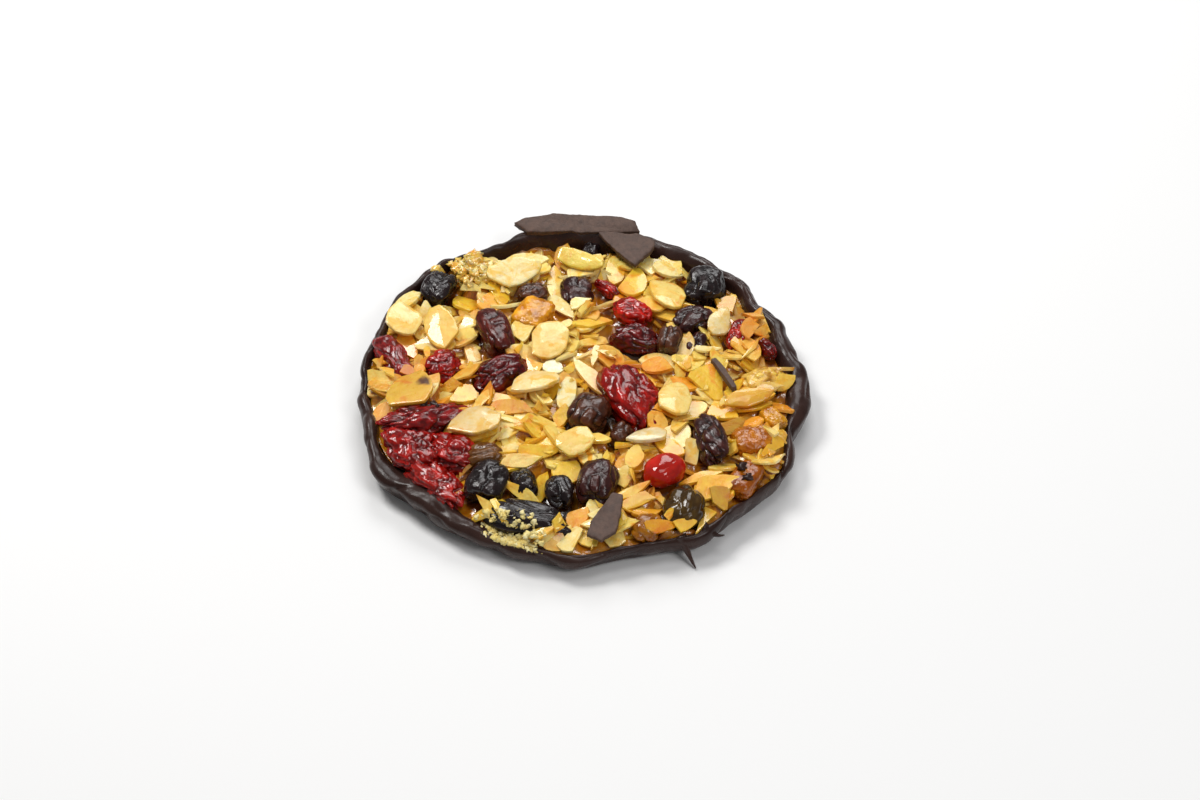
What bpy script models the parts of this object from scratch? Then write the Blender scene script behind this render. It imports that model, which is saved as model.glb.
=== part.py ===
"""Florentine cookie: a round heap of flaked almonds, dried fruit and candied peel, bound with
caramel and held in a thin dark chocolate dish whose rim is uneven. Blender 4.5, metres, +Z up.
The origin is the middle of the flat underside."""

import math
import random

import bmesh
import bpy
from mathutils import Matrix, Vector, noise
from mathutils.bvhtree import BVHTree

MM = 0.001

# Driving dimensions, in millimetres.
RADIUS = 46.0  # chocolate dish, middle of the outer wall
FLOOR = 2.2  # chocolate under the heap
RIM_HEIGHT = 7.1
RIM_TILT = 1.7  # the rim is this much higher at the back (+Y) and lower at the front
RIM_WIDTH = 2.1
WALL_LEAN = 0.9  # the wall is this much thicker where it meets the floor
HEAP_TOP = 8.4  # almond level in the middle
HEAP_FALL = 2.1  # how far the heap falls away towards the rim
DISH_CENTRE = (-0.3, -0.1)  # puts the middle of the whole cookie's box on the origin
TOPPING_SHIFT = (-0.2, 1.3)  # from the origin to the point that the toppings are laid out round
GAP = 0.35  # clearance between pieces that touch
SLICE_THICKNESS = 1.1
SLICE_DOME = 0.7  # how far a slice's middle stands above its edge
SHARD_THICKNESS = 1.3
LIP = 0.60  # the wall's inner face meets the rolled rim at this share of the rim's height
FACET_LIFT, FACET_SLOPE = 0.5, 0.16  # most that a facet of the heap is raised, and leans as a tangent
AROUND = 64  # segments round the dish and the heap
HEAP_RINGS = 8
HEAP_CROWDING = 1.15  # above 1, the heap's rings are closer together near the wall
FRUIT_AROUND, FRUIT_ALONG = 8, 6  # facets of a fruit
SLICE_AROUND = 14  # facets of a slice's edge
PLATES = 150  # almond-sized facets on the heap
SLIVER = 0.05  # points closer than this after a cut are made one
SHARP_ANGLE = 40  # degrees between faces that meet in a visible edge

# Waves round the rim: how many, where they start in radians, and their height in millimetres.
RADIUS_WAVES = ((11, 0.6, 0.35), (17, 2.0, 0.25))
HEIGHT_WAVES = ((13, 0.0, 0.3),)
WIDTH_WAVES = ((7, 1.0, 0.25),)

# Swellings and dips of the rim: angle from +X and half width in degrees, then millimetres.
RADIUS_LOBES = (
    (16, 6, -1.8), (33, 7, -2.6), (47, 8, -0.9), (66, 6, -0.8), (130, 6, 1.3), (150, 10, 1.9),
    (187, 9, -0.5), (210, 8, 2.2), (238, 9, -0.5), (263, 8, 1.3), (300, 5, 1.6), (325, 9, 1.2),
    (340, 4, -1.8), (351, 5, 0.4),
)
HEIGHT_LOBES = (
    (20, 8, 0.7), (50, 10, 0.9), (100, 14, 0.6), (136, 5, 0.5), (150, 12, -1.2), (184, 6, -1.4),
    (220, 14, 0.7), (195, 7, 0.6), (252, 10, -0.6), (310, 7, 0.3), (333, 6, -0.6),
)
WIDTH_LOBES = (
    (18, 14, 1.4), (50, 18, 1.7), (88, 12, 2.2), (115, 10, 0.6), (225, 14, 2.0), (285, 30, -0.5), (355, 16, 1.7),
)

# Dried fruit and peel: name, kind, centre x, y, z, then length, width, height and turn of the long axis.
FRUIT = (
    ("raisin_back_left", "raisin", -30.3, 26.2, 7.9, 10.0, 7.2, 6.4, 73),
    ("raisin_long_left", "raisin", -18.2, 12.0, 8.3, 14.0, 7.0, 6.2, 106),
    ("cranberry_left_of_centre", "berry", -17.0, -0.4, 8.2, 11.5, 7.4, 6.5, 33),
    ("raisin_behind_peel", "raisin", -11.2, 25.0, 7.4, 6.5, 4.8, 4.5, 20),
    ("raisin_back_sunk", "raisin", -1.4, 26.0, 7.1, 8.0, 6.5, 5.0, 100),
    ("cranberry_strip_back", "berry", 4.6, 26.4, 7.9, 7.0, 3.2, 3.2, -45),
    ("cranberry_back_centre", "berry", 9.8, 17.4, 8.6, 9.5, 6.0, 4.8, -28),
    ("cranberry_dark_centre", "berry", 11.0, 10.4, 7.6, 9.5, 6.2, 5.5, -15),
    ("raisin_centre_right", "raisin", 17.6, 8.8, 8.2, 6.5, 5.2, 5.5, 80),
    ("raisin_right_back", "raisin", 22.6, 15.6, 8.1, 8.0, 6.5, 6.0, 40),
    ("raisin_right_small", "raisin", 23.4, 8.4, 7.6, 5.5, 4.0, 4.5, 85),
    ("raisin_large_back_right", "raisin", 25.3, 25.6, 8.5, 12.0, 8.8, 7.4, 80),
    ("cranberry_right", "berry", 32.0, 12.2, 7.5, 7.5, 5.0, 4.6, 75),
    ("cranberry_right_rim", "berry", 37.4, 8.6, 6.7, 6.0, 3.6, 4.0, -60),
    ("cranberry_large_centre", "berry", 9.4, -6.5, 8.2, 17.0, 10.2, 7.2, -66),
    ("raisin_centre", "raisin", 1.2, -12.0, 8.2, 10.0, 7.6, 6.6, 75),
    ("raisin_centre_small", "raisin", 7.6, -17.4, 7.5, 5.2, 3.6, 4.0, 60),
    ("raisin_long_right", "raisin", 24.5, -19.0, 8.2, 12.0, 6.2, 6.2, -77),
    ("cherry_front_right", "cherry", 15.7, -27.8, 8.1, 8.6, 6.8, 6.3, 34),
    ("raisin_front_centre", "raisin", 3.2, -30.4, 7.9, 11.0, 7.5, 6.6, 82),
    ("raisin_front_left_of_centre", "raisin", -4.7, -32.9, 7.4, 8.0, 6.0, 6.2, 95),
    ("raisin_front_sunk", "raisin", -11.2, -30.2, 6.9, 7.6, 5.4, 5.2, 100),
    ("raisin_front_left", "raisin", -18.4, -31.0, 7.7, 10.4, 7.8, 6.8, 70),
    ("raisin_long_front", "raisin", -11.2, -39.6, 6.5, 15.5, 6.6, 6.2, -13),
    ("currant_front_right", "cherry", 19.4, -36.6, 6.7, 9.4, 7.8, 7.0, 80),
    ("sultana_front", "sultana", 12.3, -41.4, 5.9, 6.2, 5.4, 4.6, 80),
    ("raisin_back_rim", "raisin", 1.6, 38.8, 6.8, 6.0, 4.4, 4.6, 80),
    ("sultana_left_of_centre", "sultana", -19.6, -23.6, 7.5, 7.0, 5.0, 4.8, 10),
    ("cranberry_left_rim", "berry", -39.2, 5.4, 6.8, 13.5, 5.4, 4.6, -58),
    ("cranberry_left", "berry", -28.6, 2.4, 7.8, 7.6, 6.6, 5.0, 20),
    ("cranberry_heap_top", "berry", -32.0, -13.4, 7.9, 13.5, 6.4, 5.4, 8),
    ("cranberry_heap_middle", "berry", -34.4, -20.4, 7.2, 11.5, 7.0, 5.8, -38),
    ("cranberry_heap_inner", "berry", -26.8, -22.4, 7.6, 9.5, 6.6, 5.6, -55),
    ("cranberry_heap_front", "berry", -28.4, -30.0, 6.4, 13.0, 6.0, 5.4, -47),
    ("peel_back_left", "peel", -10.6, 17.0, 8.2, 10.4, 8.6, 5.6, 65),
    ("peel_right", "peel", 33.4, -19.2, 7.2, 8.4, 7.6, 6.0, 15),
    ("peel_front_right", "peel", 31.6, -29.0, 6.6, 10.0, 6.4, 5.6, 62),
    ("peel_right_rim", "peel", 37.8, -12.2, 6.6, 6.8, 4.6, 4.4, -55),
    ("ginger_right", "peel", 36.2, -1.4, 7.1, 9.4, 7.2, 5.4, 24),
)

# Almond slices that lie free on top: centre x, y, z, then length, width, turn of the pointed end,
# how pointed it is from 0 to 1, and the slopes along and across it in degrees.
ALMONDS = (
    (-21.9, -16.4, 9.8, 11.6, 10.0, 195, 0.5, -5, 8),
    (-35.0, -6.6, 9.4, 12.4, 10.4, 80, 0.2, -4, -12),
    (-37.4, 15.6, 8.9, 9.6, 9.0, 100, 0.3, 8, 10),
    (-7.4, 8.2, 9.3, 10.4, 8.8, 60, 0.1, 6, 4),
    (-14.4, 29.8, 9.3, 13.0, 8.0, 15, 0.5, 4, 18),
    (-0.6, 33.4, 9.2, 13.0, 5.4, -25, 0.6, 0, 20),
    (17.0, 22.6, 9.2, 11.6, 8.0, 115, 0.2, -8, 12),
    (28.0, 13.8, 9.4, 7.8, 5.6, 70, 0.3, 8, 12),
    (-10.4, -4.4, 9.6, 11.4, 8.0, 205, 0.5, 2, 10),
    (-1.6, -21.0, 9.4, 9.0, 7.2, 30, 0.2, 6, 8),
    (12.6, -20.0, 9.6, 9.4, 6.2, 200, 0.6, 4, 16),
    (18.4, -9.6, 9.8, 10.6, 8.0, 80, 0.2, -6, 6),
    (33.4, -8.2, 9.0, 11.2, 5.0, 15, 0.5, 4, 20),
    (-29.6, 12.4, 9.2, 12.0, 7.6, 110, 0.2, 8, -12),
)

# Broken flat chocolate: the corners of each outline in its own plane, then centre, turn and slope.
SHARDS = {
    "chocolate_shard_back_long": (
        ((-13.6, 0.1), (-11.4, 1.2), (-5, 1.9), (3, 1.6), (6.2, 0.9), (10, 1.2), (12.6, 0.2), (13.6, -2.2),
         (8.4, -2.4), (4.6, -1.8), (0, -2.1), (-6, -2.0), (-10.6, -2.3)),
        (-1.8, 43.9, 10.9), 0, 10,
    ),
    "chocolate_shard_back_small": (
        ((-6.2, 4.6), (1.6, 4.8), (5.6, 2.2), (5.0, -0.4), (3.2, -1.4), (1.6, -5.2), (-3.6, 0.6)),
        (9.2, 35.8, 10.0), 0, 7,
    ),
    "chocolate_shard_front": (
        ((-5.4, -1.0), (-4.4, 2.0), (-1.6, 2.7), (2.0, 2.2), (5.2, 1.2), (5.6, -0.8), (2.4, -2.2), (-2.2, -2.8)),
        (4.6, -41.3, 8.6), 66, 14,
    ),
    "chocolate_sliver_right": (
        ((-5.0, 0.1), (-2.2, 0.7), (1.8, 0.6), (5.0, 0.2), (1.6, -0.5), (-2.6, -0.4)),
        (28.3, -1.5, 9.2), -66, 3,
    ),
}

FINISHES = {  # colour, roughness
    "chocolate": ((0.055, 0.030, 0.024), 0.35),
    "almond": ((0.80, 0.60, 0.30), 0.45),
    "caramel": ((0.62, 0.34, 0.09), 0.35),
    "raisin": ((0.030, 0.014, 0.014), 0.38),
    "berry": ((0.26, 0.014, 0.018), 0.32),
    "cherry": ((0.50, 0.020, 0.016), 0.22),
    "sultana": ((0.26, 0.11, 0.035), 0.32),
    "peel": ((0.48, 0.20, 0.035), 0.35),
}


def clear_scene():
    for thing in list(bpy.data.objects):
        bpy.data.objects.remove(thing)


def collection(name, hidden=False):
    made = bpy.data.collections.new(name)
    made.hide_render = hidden
    bpy.context.scene.collection.children.link(made)
    return made


def finish_of(kind):
    """The Principled material of one kind of food, made once."""
    found = bpy.data.materials.get(kind)
    if found:
        return found
    colour, roughness = FINISHES[kind]
    made = bpy.data.materials.new(kind)
    made.use_nodes = True
    shader = made.node_tree.nodes["Principled BSDF"]
    shader.inputs["Base Color"].default_value = (*colour, 1.0)
    shader.inputs["Roughness"].default_value = roughness
    shader.inputs["Metallic"].default_value = 0.0
    return made


def piece(name, shape, kind, place, group):
    """A named object from a bmesh in millimetres, with its scale in the mesh and its place in the object."""
    bmesh.ops.recalc_face_normals(shape, faces=shape.faces)
    if shape.calc_volume(signed=True) < 0:
        bmesh.ops.reverse_faces(shape, faces=shape.faces)
    bmesh.ops.triangulate(shape, faces=shape.faces)
    bmesh.ops.scale(shape, vec=(MM, MM, MM), verts=shape.verts)
    mesh = bpy.data.meshes.new(name)
    shape.to_mesh(mesh)
    shape.free()
    mesh.shade_smooth()
    mesh.set_sharp_from_angle(angle=math.radians(SHARP_ANGLE))
    mesh.materials.append(finish_of(kind))
    made = bpy.data.objects.new(name, mesh)
    made.matrix_world = place
    group.objects.link(made)
    return made


def placed(x, y, z, turn=0.0, along=0.0, across=0.0):
    """A topping's place in millimetres: turned about Z, then sloped along and across, in degrees."""
    spin = Matrix.Rotation(math.radians(turn), 4, "Z")
    pitch = Matrix.Rotation(math.radians(-along), 4, "Y")
    roll = Matrix.Rotation(math.radians(across), 4, "X")
    centre = Vector((x + TOPPING_SHIFT[0], y + TOPPING_SHIFT[1], z)) * MM
    return Matrix.Translation(centre) @ spin @ pitch @ roll


# The dish and the heap share one outline, worked out by angle.


def lobes(table, angle):
    """The sum of the bell-shaped swellings in a table at an angle in degrees."""
    total = 0.0
    for centre, half_width, amount in table:
        away = (angle - centre + 180) % 360 - 180
        total += amount * math.exp(-((away / half_width) ** 2))
    return total


def waves(table, turn):
    """The sum of the waves in a table at an angle in radians."""
    return sum(height * math.sin(count * turn + start) for count, start, height in table)


def rim(angle):
    """Outer radius, height and width of the chocolate rim at an angle in degrees."""
    turn = math.radians(angle)
    radius = RADIUS + waves(RADIUS_WAVES, turn) + lobes(RADIUS_LOBES, angle)
    height = RIM_HEIGHT + RIM_TILT * math.sin(turn) + waves(HEIGHT_WAVES, turn) + lobes(HEIGHT_LOBES, angle)
    width = RIM_WIDTH + waves(WIDTH_WAVES, turn) + lobes(WIDTH_LOBES, angle)
    return radius, height, width


def dish_section(angle):
    """(radius, height) points of the dish from under the middle, over the rim, to the floor's middle."""
    radius, height, width = rim(angle)
    return (
        (0.0, 0.0),
        (radius - 1.3, 0.0),
        (radius - 0.3, 0.9),
        (radius, 0.42 * height),
        (radius - 0.35, 0.80 * height),
        (radius - 0.5 * width, height),
        (radius - 0.92 * width, 0.86 * height),
        (radius - width, LIP * height),
        (radius - width - WALL_LEAN, FLOOR),
        (0.0, FLOOR),
    )


def heap_plates():
    """Seeded almond-sized facets: centre, lift and slope of each."""
    draw = random.Random(7)
    found = []
    for _ in range(PLATES):
        reach = RADIUS * math.sqrt(draw.random())
        turn = draw.uniform(0, 2 * math.pi)
        slope = (draw.uniform(-FACET_SLOPE, FACET_SLOPE), draw.uniform(-FACET_SLOPE, FACET_SLOPE))
        lift = draw.uniform(-FACET_LIFT, FACET_LIFT)
        found.append(((reach * math.cos(turn), reach * math.sin(turn)), lift, slope))
    return found


def heap_height(x, y, plates):
    """The heap's level: a low dome broken into the facet of the nearest plate."""
    dome = HEAP_TOP - HEAP_FALL * (math.hypot(x, y) / RADIUS) ** 3
    (cx, cy), lift, (sx, sy) = min(plates, key=lambda p: (p[0][0] - x) ** 2 + (p[0][1] - y) ** 2)
    return dome + lift + sx * (x - cx) + sy * (y - cy)


def inside_wall(angle, level):
    """Radius of the dish's inner wall at an angle and a height: it leans out from the floor to its lip."""
    radius, height, width = rim(angle)
    lean = (level - FLOOR) / (LIP * height - FLOOR)
    return radius - width - WALL_LEAN * (1 - min(1.0, lean))


def heap_section(angle, plates):
    """(radius, height) points of the heap: its underside, its wall inside the rim, then its top."""
    turn = math.radians(angle)
    bottom = FLOOR + GAP
    inner = inside_wall(angle, HEAP_TOP) - GAP
    edge = heap_height(inner * math.cos(turn), inner * math.sin(turn), plates)
    middle = 0.5 * (bottom + edge)
    points = [(0.0, bottom)]
    points += [(inside_wall(angle, height) - GAP, height) for height in (bottom, middle)]
    for ring in range(HEAP_RINGS):
        reach = inner * (1 - (ring / HEAP_RINGS) ** HEAP_CROWDING)
        points.append((reach, heap_height(reach * math.cos(turn), reach * math.sin(turn), plates)))
    points.append((0.0, heap_height(0.0, 0.0, plates)))
    return points


def revolved(section):
    """A closed turned shape whose section changes with the angle: the first section is spun round Z,
    then each spun point is moved to where the section at its own angle has it."""
    shape = bmesh.new()
    first = section(0.0)
    profile = [shape.verts.new((r + 1.0, 0.0, z)) for r, z in first]
    edges = [shape.edges.new(pair) for pair in zip(profile, profile[1:])]
    bmesh.ops.spin(
        shape, geom=profile + edges, axis=(0, 0, 1), cent=(0, 0, 0), angle=2 * math.pi, steps=AROUND,
        use_merge=True,
    )
    sections = [section(360.0 * step / AROUND) for step in range(AROUND)]
    by_place = {(round(r + 1.0, 3), round(z, 3)): number for number, (r, z) in enumerate(first)}
    for vert in shape.verts:
        reach = math.hypot(vert.co.x, vert.co.y)
        step = round(math.degrees(math.atan2(vert.co.y, vert.co.x)) * AROUND / 360.0) % AROUND
        number = min(by_place, key=lambda at: (at[0] - reach) ** 2 + (at[1] - vert.co.z) ** 2)
        radius, height = sections[step][by_place[number]]
        turn = 2 * math.pi * step / AROUND
        vert.co = (radius * math.cos(turn), radius * math.sin(turn), height)
    bmesh.ops.remove_doubles(shape, verts=shape.verts, dist=0.001)
    return shape


# Fruit, peel and almond slices. Each takes a swell, so that the same function makes its clearance.


def fruit_radius(kind, out, seed):
    """How far a fruit's skin is from its centre in a direction, where 1 is a plain ellipsoid."""
    folds = noise.noise(out * 1.6 + Vector((seed, 0, 0)))
    fine = noise.noise(out * 3.4 + Vector((0, seed, 0)))
    if kind == "raisin":
        ridges = 0.07 * math.cos(5 * math.atan2(out.z, out.y) + 2 * out.x) * (1 - out.x ** 2)
        return 0.94 + 0.16 * folds + 0.08 * fine + ridges
    if kind == "berry":
        return 0.95 + 0.24 * folds + 0.14 * fine
    if kind == "peel":
        box = (abs(out.x) ** 4 + abs(out.y) ** 4 + abs(out.z) ** 4) ** -0.25
        return 0.88 * box + 0.08 * folds
    return 0.98 + 0.06 * folds


def fruit_shape(kind, length, width, height, seed, swell=0.0):
    """A lumpy ellipsoid, or a block with soft corners for peel, swollen by a clearance on every side."""
    shape = bmesh.new()
    bmesh.ops.create_uvsphere(shape, u_segments=FRUIT_AROUND, v_segments=FRUIT_ALONG, radius=1.0)
    half = Vector((length, width, height)) / 2
    grow = 1 + swell / (0.72 * min(half))
    for vert in shape.verts:
        out = Vector((vert.co.z, vert.co.x, vert.co.y)).normalized()
        vert.co = Vector(a * b for a, b in zip(out, half)) * fruit_radius(kind, out, seed) * grow
    return shape


def slice_shape(length, width, pointed, swell=0.0):
    """A domed almond slice: a disc drawn out to a point at +X, thickest in the middle."""
    shape = bmesh.new()
    thick = SLICE_THICKNESS + 2 * swell
    bmesh.ops.create_cone(
        shape, cap_ends=True, cap_tris=True, segments=SLICE_AROUND, radius1=1, radius2=1, depth=thick
    )
    for vert in shape.verts:
        reach = math.hypot(vert.co.x, vert.co.y)
        taper = (0.5 - 0.5 * vert.co.x) ** (0.6 * pointed) if reach > 0.5 else 1.0
        dome = SLICE_DOME * (1 - reach)
        vert.co.x *= length / 2 + swell
        vert.co.y *= (width / 2) * taper + swell
        vert.co.z += dome
    return shape


def shard_shape(outline, swell=0.0):
    """A flat broken plate: its outline filled and given its thickness."""
    shape = bmesh.new()
    thick = SHARD_THICKNESS + 2 * swell
    corners = []
    for x, y in outline:
        away = Vector((x, y, 0))
        corners.append(shape.verts.new(away + away.normalized() * swell - Vector((0, 0, thick / 2))))
    plate = shape.faces.new(corners)
    raised = bmesh.ops.extrude_face_region(shape, geom=[plate])["geom"]
    lifted = [part for part in raised if isinstance(part, bmesh.types.BMVert)]
    bmesh.ops.translate(shape, vec=(0, 0, thick), verts=lifted)
    return shape


def with_clearance(name, kind, place, group, spare, build):
    """A piece and its cutter, which is the same shape with a clearance round it."""
    made = piece(name, build(0.0), kind, place, group)
    cutter = piece("clear_" + name, build(GAP), kind, place, spare)
    cutter.hide_render = True
    cutter.display_type = "WIRE"
    return made, cutter


def loose_pieces(group, spare):
    """Every fruit, slice and shard with its cutter, in the order in which they keep their shape."""
    found = []
    for number, (name, kind, x, y, z, length, width, height, turn) in enumerate(FRUIT):
        def build(swell, kind=kind, size=(length, width, height), seed=3.7 * number):
            return fruit_shape(kind, *size, seed, swell)

        found.append(with_clearance(name, kind, placed(x, y, z, turn), group, spare, build))
    for name, (outline, centre, turn, slope) in SHARDS.items():
        def build(swell, outline=outline):
            return shard_shape(outline, swell)

        along, across = (slope, 0) if turn else (0, slope)
        where = placed(*centre, turn, along, across)
        found.append(with_clearance(name, "chocolate", where, group, spare, build))
    for number, (x, y, z, length, width, turn, pointed, along, across) in enumerate(ALMONDS, start=1):
        def build(swell, size=(length, width, pointed)):
            return slice_shape(*size, swell)

        name = f"almond_slice_{number:02d}"
        place = placed(x, y, z, turn, along, across)
        found.append(with_clearance(name, "almond", place, group, spare, build))
    return found


def tree_of(thing):
    """A search tree of an object's mesh in world space."""
    bpy.context.view_layer.update()
    points = [thing.matrix_world @ vert.co for vert in thing.data.vertices]
    return BVHTree.FromPolygons(points, [tuple(face.vertices) for face in thing.data.polygons])


def cut(thing, cutter):
    """Takes a cutter's shape out of a piece."""
    notch = thing.modifiers.new("clear of " + cutter.name[6:40], "BOOLEAN")
    notch.operation = "DIFFERENCE"
    notch.object = cutter
    notch.solver = "EXACT"


def cut_all(thing, cutters):
    """Takes every cutter of a collection out of a piece in one cut."""
    notch = thing.modifiers.new("clear of the loose pieces", "BOOLEAN")
    notch.operation = "DIFFERENCE"
    notch.operand_type = "COLLECTION"
    notch.collection = cutters
    notch.solver = "EXACT"
    slivers = thing.modifiers.new("slivers", "WELD")
    slivers.merge_threshold = SLIVER * MM


def main():
    clear_scene()
    group = collection("florentine")
    spare = collection("clearances", hidden=True)
    plates = heap_plates()
    centre = Matrix.Translation(Vector((*DISH_CENTRE, 0)) * MM)
    dish = piece("chocolate_dish", revolved(dish_section), "chocolate", centre, group)
    mound = revolved(lambda angle: heap_section(angle, plates))
    heap = piece("almond_heap", mound, "caramel", centre, group)
    loose = loose_pieces(group, spare)
    trees = [(tree_of(made), tree_of(cutter)) for made, cutter in loose]
    for number, (made, _) in enumerate(loose):
        for earlier in range(number):
            if trees[number][0].overlap(trees[earlier][1]):
                cut(made, loose[earlier][1])
    for body in (dish, heap):
        cut_all(body, spare)


main()
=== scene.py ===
"""Florentine cookie: flaked almonds, dried fruit and candied peel set in caramel in a dark chocolate dish.
Lengths in this file are millimetres until a mesh is made."""
import math

import bpy
import numpy as np
from mathutils import Matrix, Vector


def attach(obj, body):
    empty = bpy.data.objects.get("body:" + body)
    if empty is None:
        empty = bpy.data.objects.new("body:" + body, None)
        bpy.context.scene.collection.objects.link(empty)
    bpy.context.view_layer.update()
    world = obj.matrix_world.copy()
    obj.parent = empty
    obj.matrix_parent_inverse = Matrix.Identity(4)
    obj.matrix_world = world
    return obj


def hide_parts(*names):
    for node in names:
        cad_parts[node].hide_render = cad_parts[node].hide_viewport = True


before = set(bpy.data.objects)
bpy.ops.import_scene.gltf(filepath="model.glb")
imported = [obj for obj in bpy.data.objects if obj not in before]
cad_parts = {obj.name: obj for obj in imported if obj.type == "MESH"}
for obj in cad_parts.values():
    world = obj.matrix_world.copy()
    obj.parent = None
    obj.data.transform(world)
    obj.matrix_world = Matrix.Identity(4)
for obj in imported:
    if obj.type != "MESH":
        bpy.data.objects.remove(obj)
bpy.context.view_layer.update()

MM = 0.001
RNG = np.random.default_rng(52)


# ---------------------------------------------------------------- number fields

def smooth_step(value, low, high):
    """0 below low, 1 above high, 3t^2 - 2t^3 between."""
    t = np.clip((value - low) / (high - low), 0.0, 1.0)
    return t * t * (3 - 2 * t)


def field(points, seed=0):
    """Smooth random field from -1 to 1: a random number at each corner of a unit lattice, blended with
    the fade 6t^5 - 15t^4 + 10t^3 along each axis. The lattice is turned, so that its rows don't show."""
    turn = np.array(Matrix.Rotation(0.9 + 0.37 * seed, 3, Vector((0.48, 0.62, 0.62))))
    points = np.asarray(points, float) @ turn.T + 11.3 * seed
    cell = np.floor(points).astype(np.int64)
    t = points - cell
    t = t * t * t * (t * (t * 6 - 15) + 10)
    total = 0.0
    for corner in np.ndindex(2, 2, 2):
        at = cell + np.array(corner)
        mixed = at[..., 0] * 73856093 ^ at[..., 1] * 19349663 ^ at[..., 2] * 83492791
        mixed = mixed ^ (seed + 1) * 2654435761
        mixed = (mixed ^ (mixed >> 13)) * 1274126177 & 0xFFFFFFFF
        mixed = mixed ^ (mixed >> 15)
        weight = np.prod(np.where(corner, t, 1 - t), axis=-1)
        total = total + weight * ((mixed & 0xFFFF) / 32767.5 - 1)
    return total


def folds(points, seed=0):
    """Rounded swellings with sharp creases between them, 0 to about 1: the root of the field's size."""
    return np.sqrt(np.abs(field(points, seed)) + 0.015) - 0.12


# ---------------------------------------------------------------- meshes

def ring_faces(rows, around):
    """Quads between each ring of points and the next, on a grid that closes round on itself."""
    row = np.arange(rows - 1)[:, None] * around
    here = np.arange(around)[None, :]
    beside = (here + 1) % around
    return np.stack([row + here, row + beside, row + around + beside, row + around + here], -1).reshape(-1, 4)


def closed_faces(rows, around):
    """Faces of a skin of rings with a pole before the first ring and one after the last: the poles are
    the last two points."""
    here = np.arange(around)
    beside = (here + 1) % around
    last = (rows - 1) * around
    first_pole, last_pole = rows * around, rows * around + 1
    start = np.stack([np.full(around, first_pole), beside, here], -1)
    end = np.stack([np.full(around, last_pole), last + here, last + beside], -1)
    return [ring_faces(rows, around), start, end]


def with_poles(rings):
    """Rings [rows, around, 3] as a list of points, with the middles of the first and last ring as poles."""
    return np.concatenate([rings.reshape(-1, 3), rings[:1].mean(1), rings[-1:].mean(1)])


def facing_out(points, faces):
    """The faces, turned round if the volume that they close comes out negative."""
    volume = 0.0
    for part in faces:
        first = points[part[:, 0]]
        for k in range(1, part.shape[1] - 1):
            volume += np.einsum("ij,ij->i", first, np.cross(points[part[:, k]], points[part[:, k + 1]])).sum()
    return faces if volume > 0 else [part[:, ::-1] for part in faces]


def put(name, points, faces, material, tint=None, replaces=(), crisp=None):
    """A piece from points in millimetres and arrays of faces, with an optional colour at each point. Edges
    that turn by more than crisp degrees are kept sharp."""
    mesh = bpy.data.meshes.new(name)
    corners = np.concatenate([part.ravel() for part in faces]).astype(np.int32)
    sizes = np.concatenate([np.full(len(part), part.shape[1]) for part in faces])
    mesh.vertices.add(len(points))
    mesh.vertices.foreach_set("co", (np.asarray(points) * MM).astype(np.float32).ravel())
    mesh.loops.add(len(corners))
    mesh.loops.foreach_set("vertex_index", corners)
    mesh.polygons.add(len(sizes))
    mesh.polygons.foreach_set("loop_start", np.concatenate([[0], np.cumsum(sizes)[:-1]]).astype(np.int32))
    mesh.polygons.foreach_set("use_smooth", np.ones(len(sizes), bool))
    mesh.update(calc_edges=True)
    if crisp:
        mesh.set_sharp_from_angle(angle=math.radians(crisp))
    if tint is not None:
        colours = np.ones((len(points), 4), np.float32)
        colours[:, :3] = np.clip(tint, 0, 1)
        mesh.color_attributes.new("tint", "FLOAT_COLOR", "POINT").data.foreach_set("color", colours.ravel())
    mesh.materials.append(material)
    made = bpy.data.objects.new(name, mesh)
    bpy.context.scene.collection.objects.link(made)
    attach(made, "root")
    if replaces:
        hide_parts(*replaces)
    return made


def put_skin(name, rings, material, tint=None, replaces=()):
    """A closed piece from rings of points [rows, around, 3], with a pole at each end."""
    points = with_poles(rings)
    faces = facing_out(points, closed_faces(*rings.shape[:2]))
    return put(name, points, faces, material, tint, replaces)


def put_many(name, pieces, faces, material, tint, crisp=None):
    """Many pieces of one kind, [pieces, points, 3], as one mesh."""
    count, size, _ = pieces.shape
    faces = facing_out(pieces[0], faces)
    shift = (np.arange(count) * size)[:, None, None]
    spread = [(part[None] + shift).reshape(-1, part.shape[1]) for part in faces]
    return put(name, pieces.reshape(-1, 3), spread, material, tint.reshape(-1, 3), crisp=crisp)


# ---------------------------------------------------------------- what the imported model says

def node_points(name):
    """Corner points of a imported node, [n, 3] in millimetres."""
    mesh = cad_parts[name].data
    points = np.empty(len(mesh.vertices) * 3, np.float32)
    mesh.vertices.foreach_get("co", points)
    return points.reshape(-1, 3).astype(float) / MM


def lay_of(name):
    """Middle, axes (rows: the longest way over the floor, the way across it, and Z) and half sizes of a
    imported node."""
    points = node_points(name)
    flat = points[:, :2] - points[:, :2].mean(0)
    _, _, axes = np.linalg.svd(flat, full_matrices=False)
    along = np.array([*axes[0], 0.0]) * np.sign(axes[0][0] + 1e-9)
    frame_axes = np.stack([along, np.cross([0, 0, 1.0], along), [0, 0, 1.0]])
    local = points @ frame_axes.T
    low, high = local.min(0), local.max(0)
    return (low + high) / 2 @ frame_axes, frame_axes, (high - low) / 2


NODES = sorted(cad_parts)
FRUITS = [name for name in NODES if not name.startswith(("almond", "chocolate"))]
LAYS = {name: lay_of(name) for name in FRUITS}


def heap_rise():
    """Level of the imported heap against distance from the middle: the upper quartile of its top points in
    each band 4 mm wide."""
    points = node_points("almond_heap")
    reach = np.hypot(points[:, 0], points[:, 1])
    bands = np.arange(2, 46, 4.0)
    level = []
    for band in bands:
        near = points[(abs(reach - band) < 3) & (points[:, 2] > 5.0), 2]
        level.append(np.percentile(near, 75))
    return bands, np.array(level)


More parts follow.
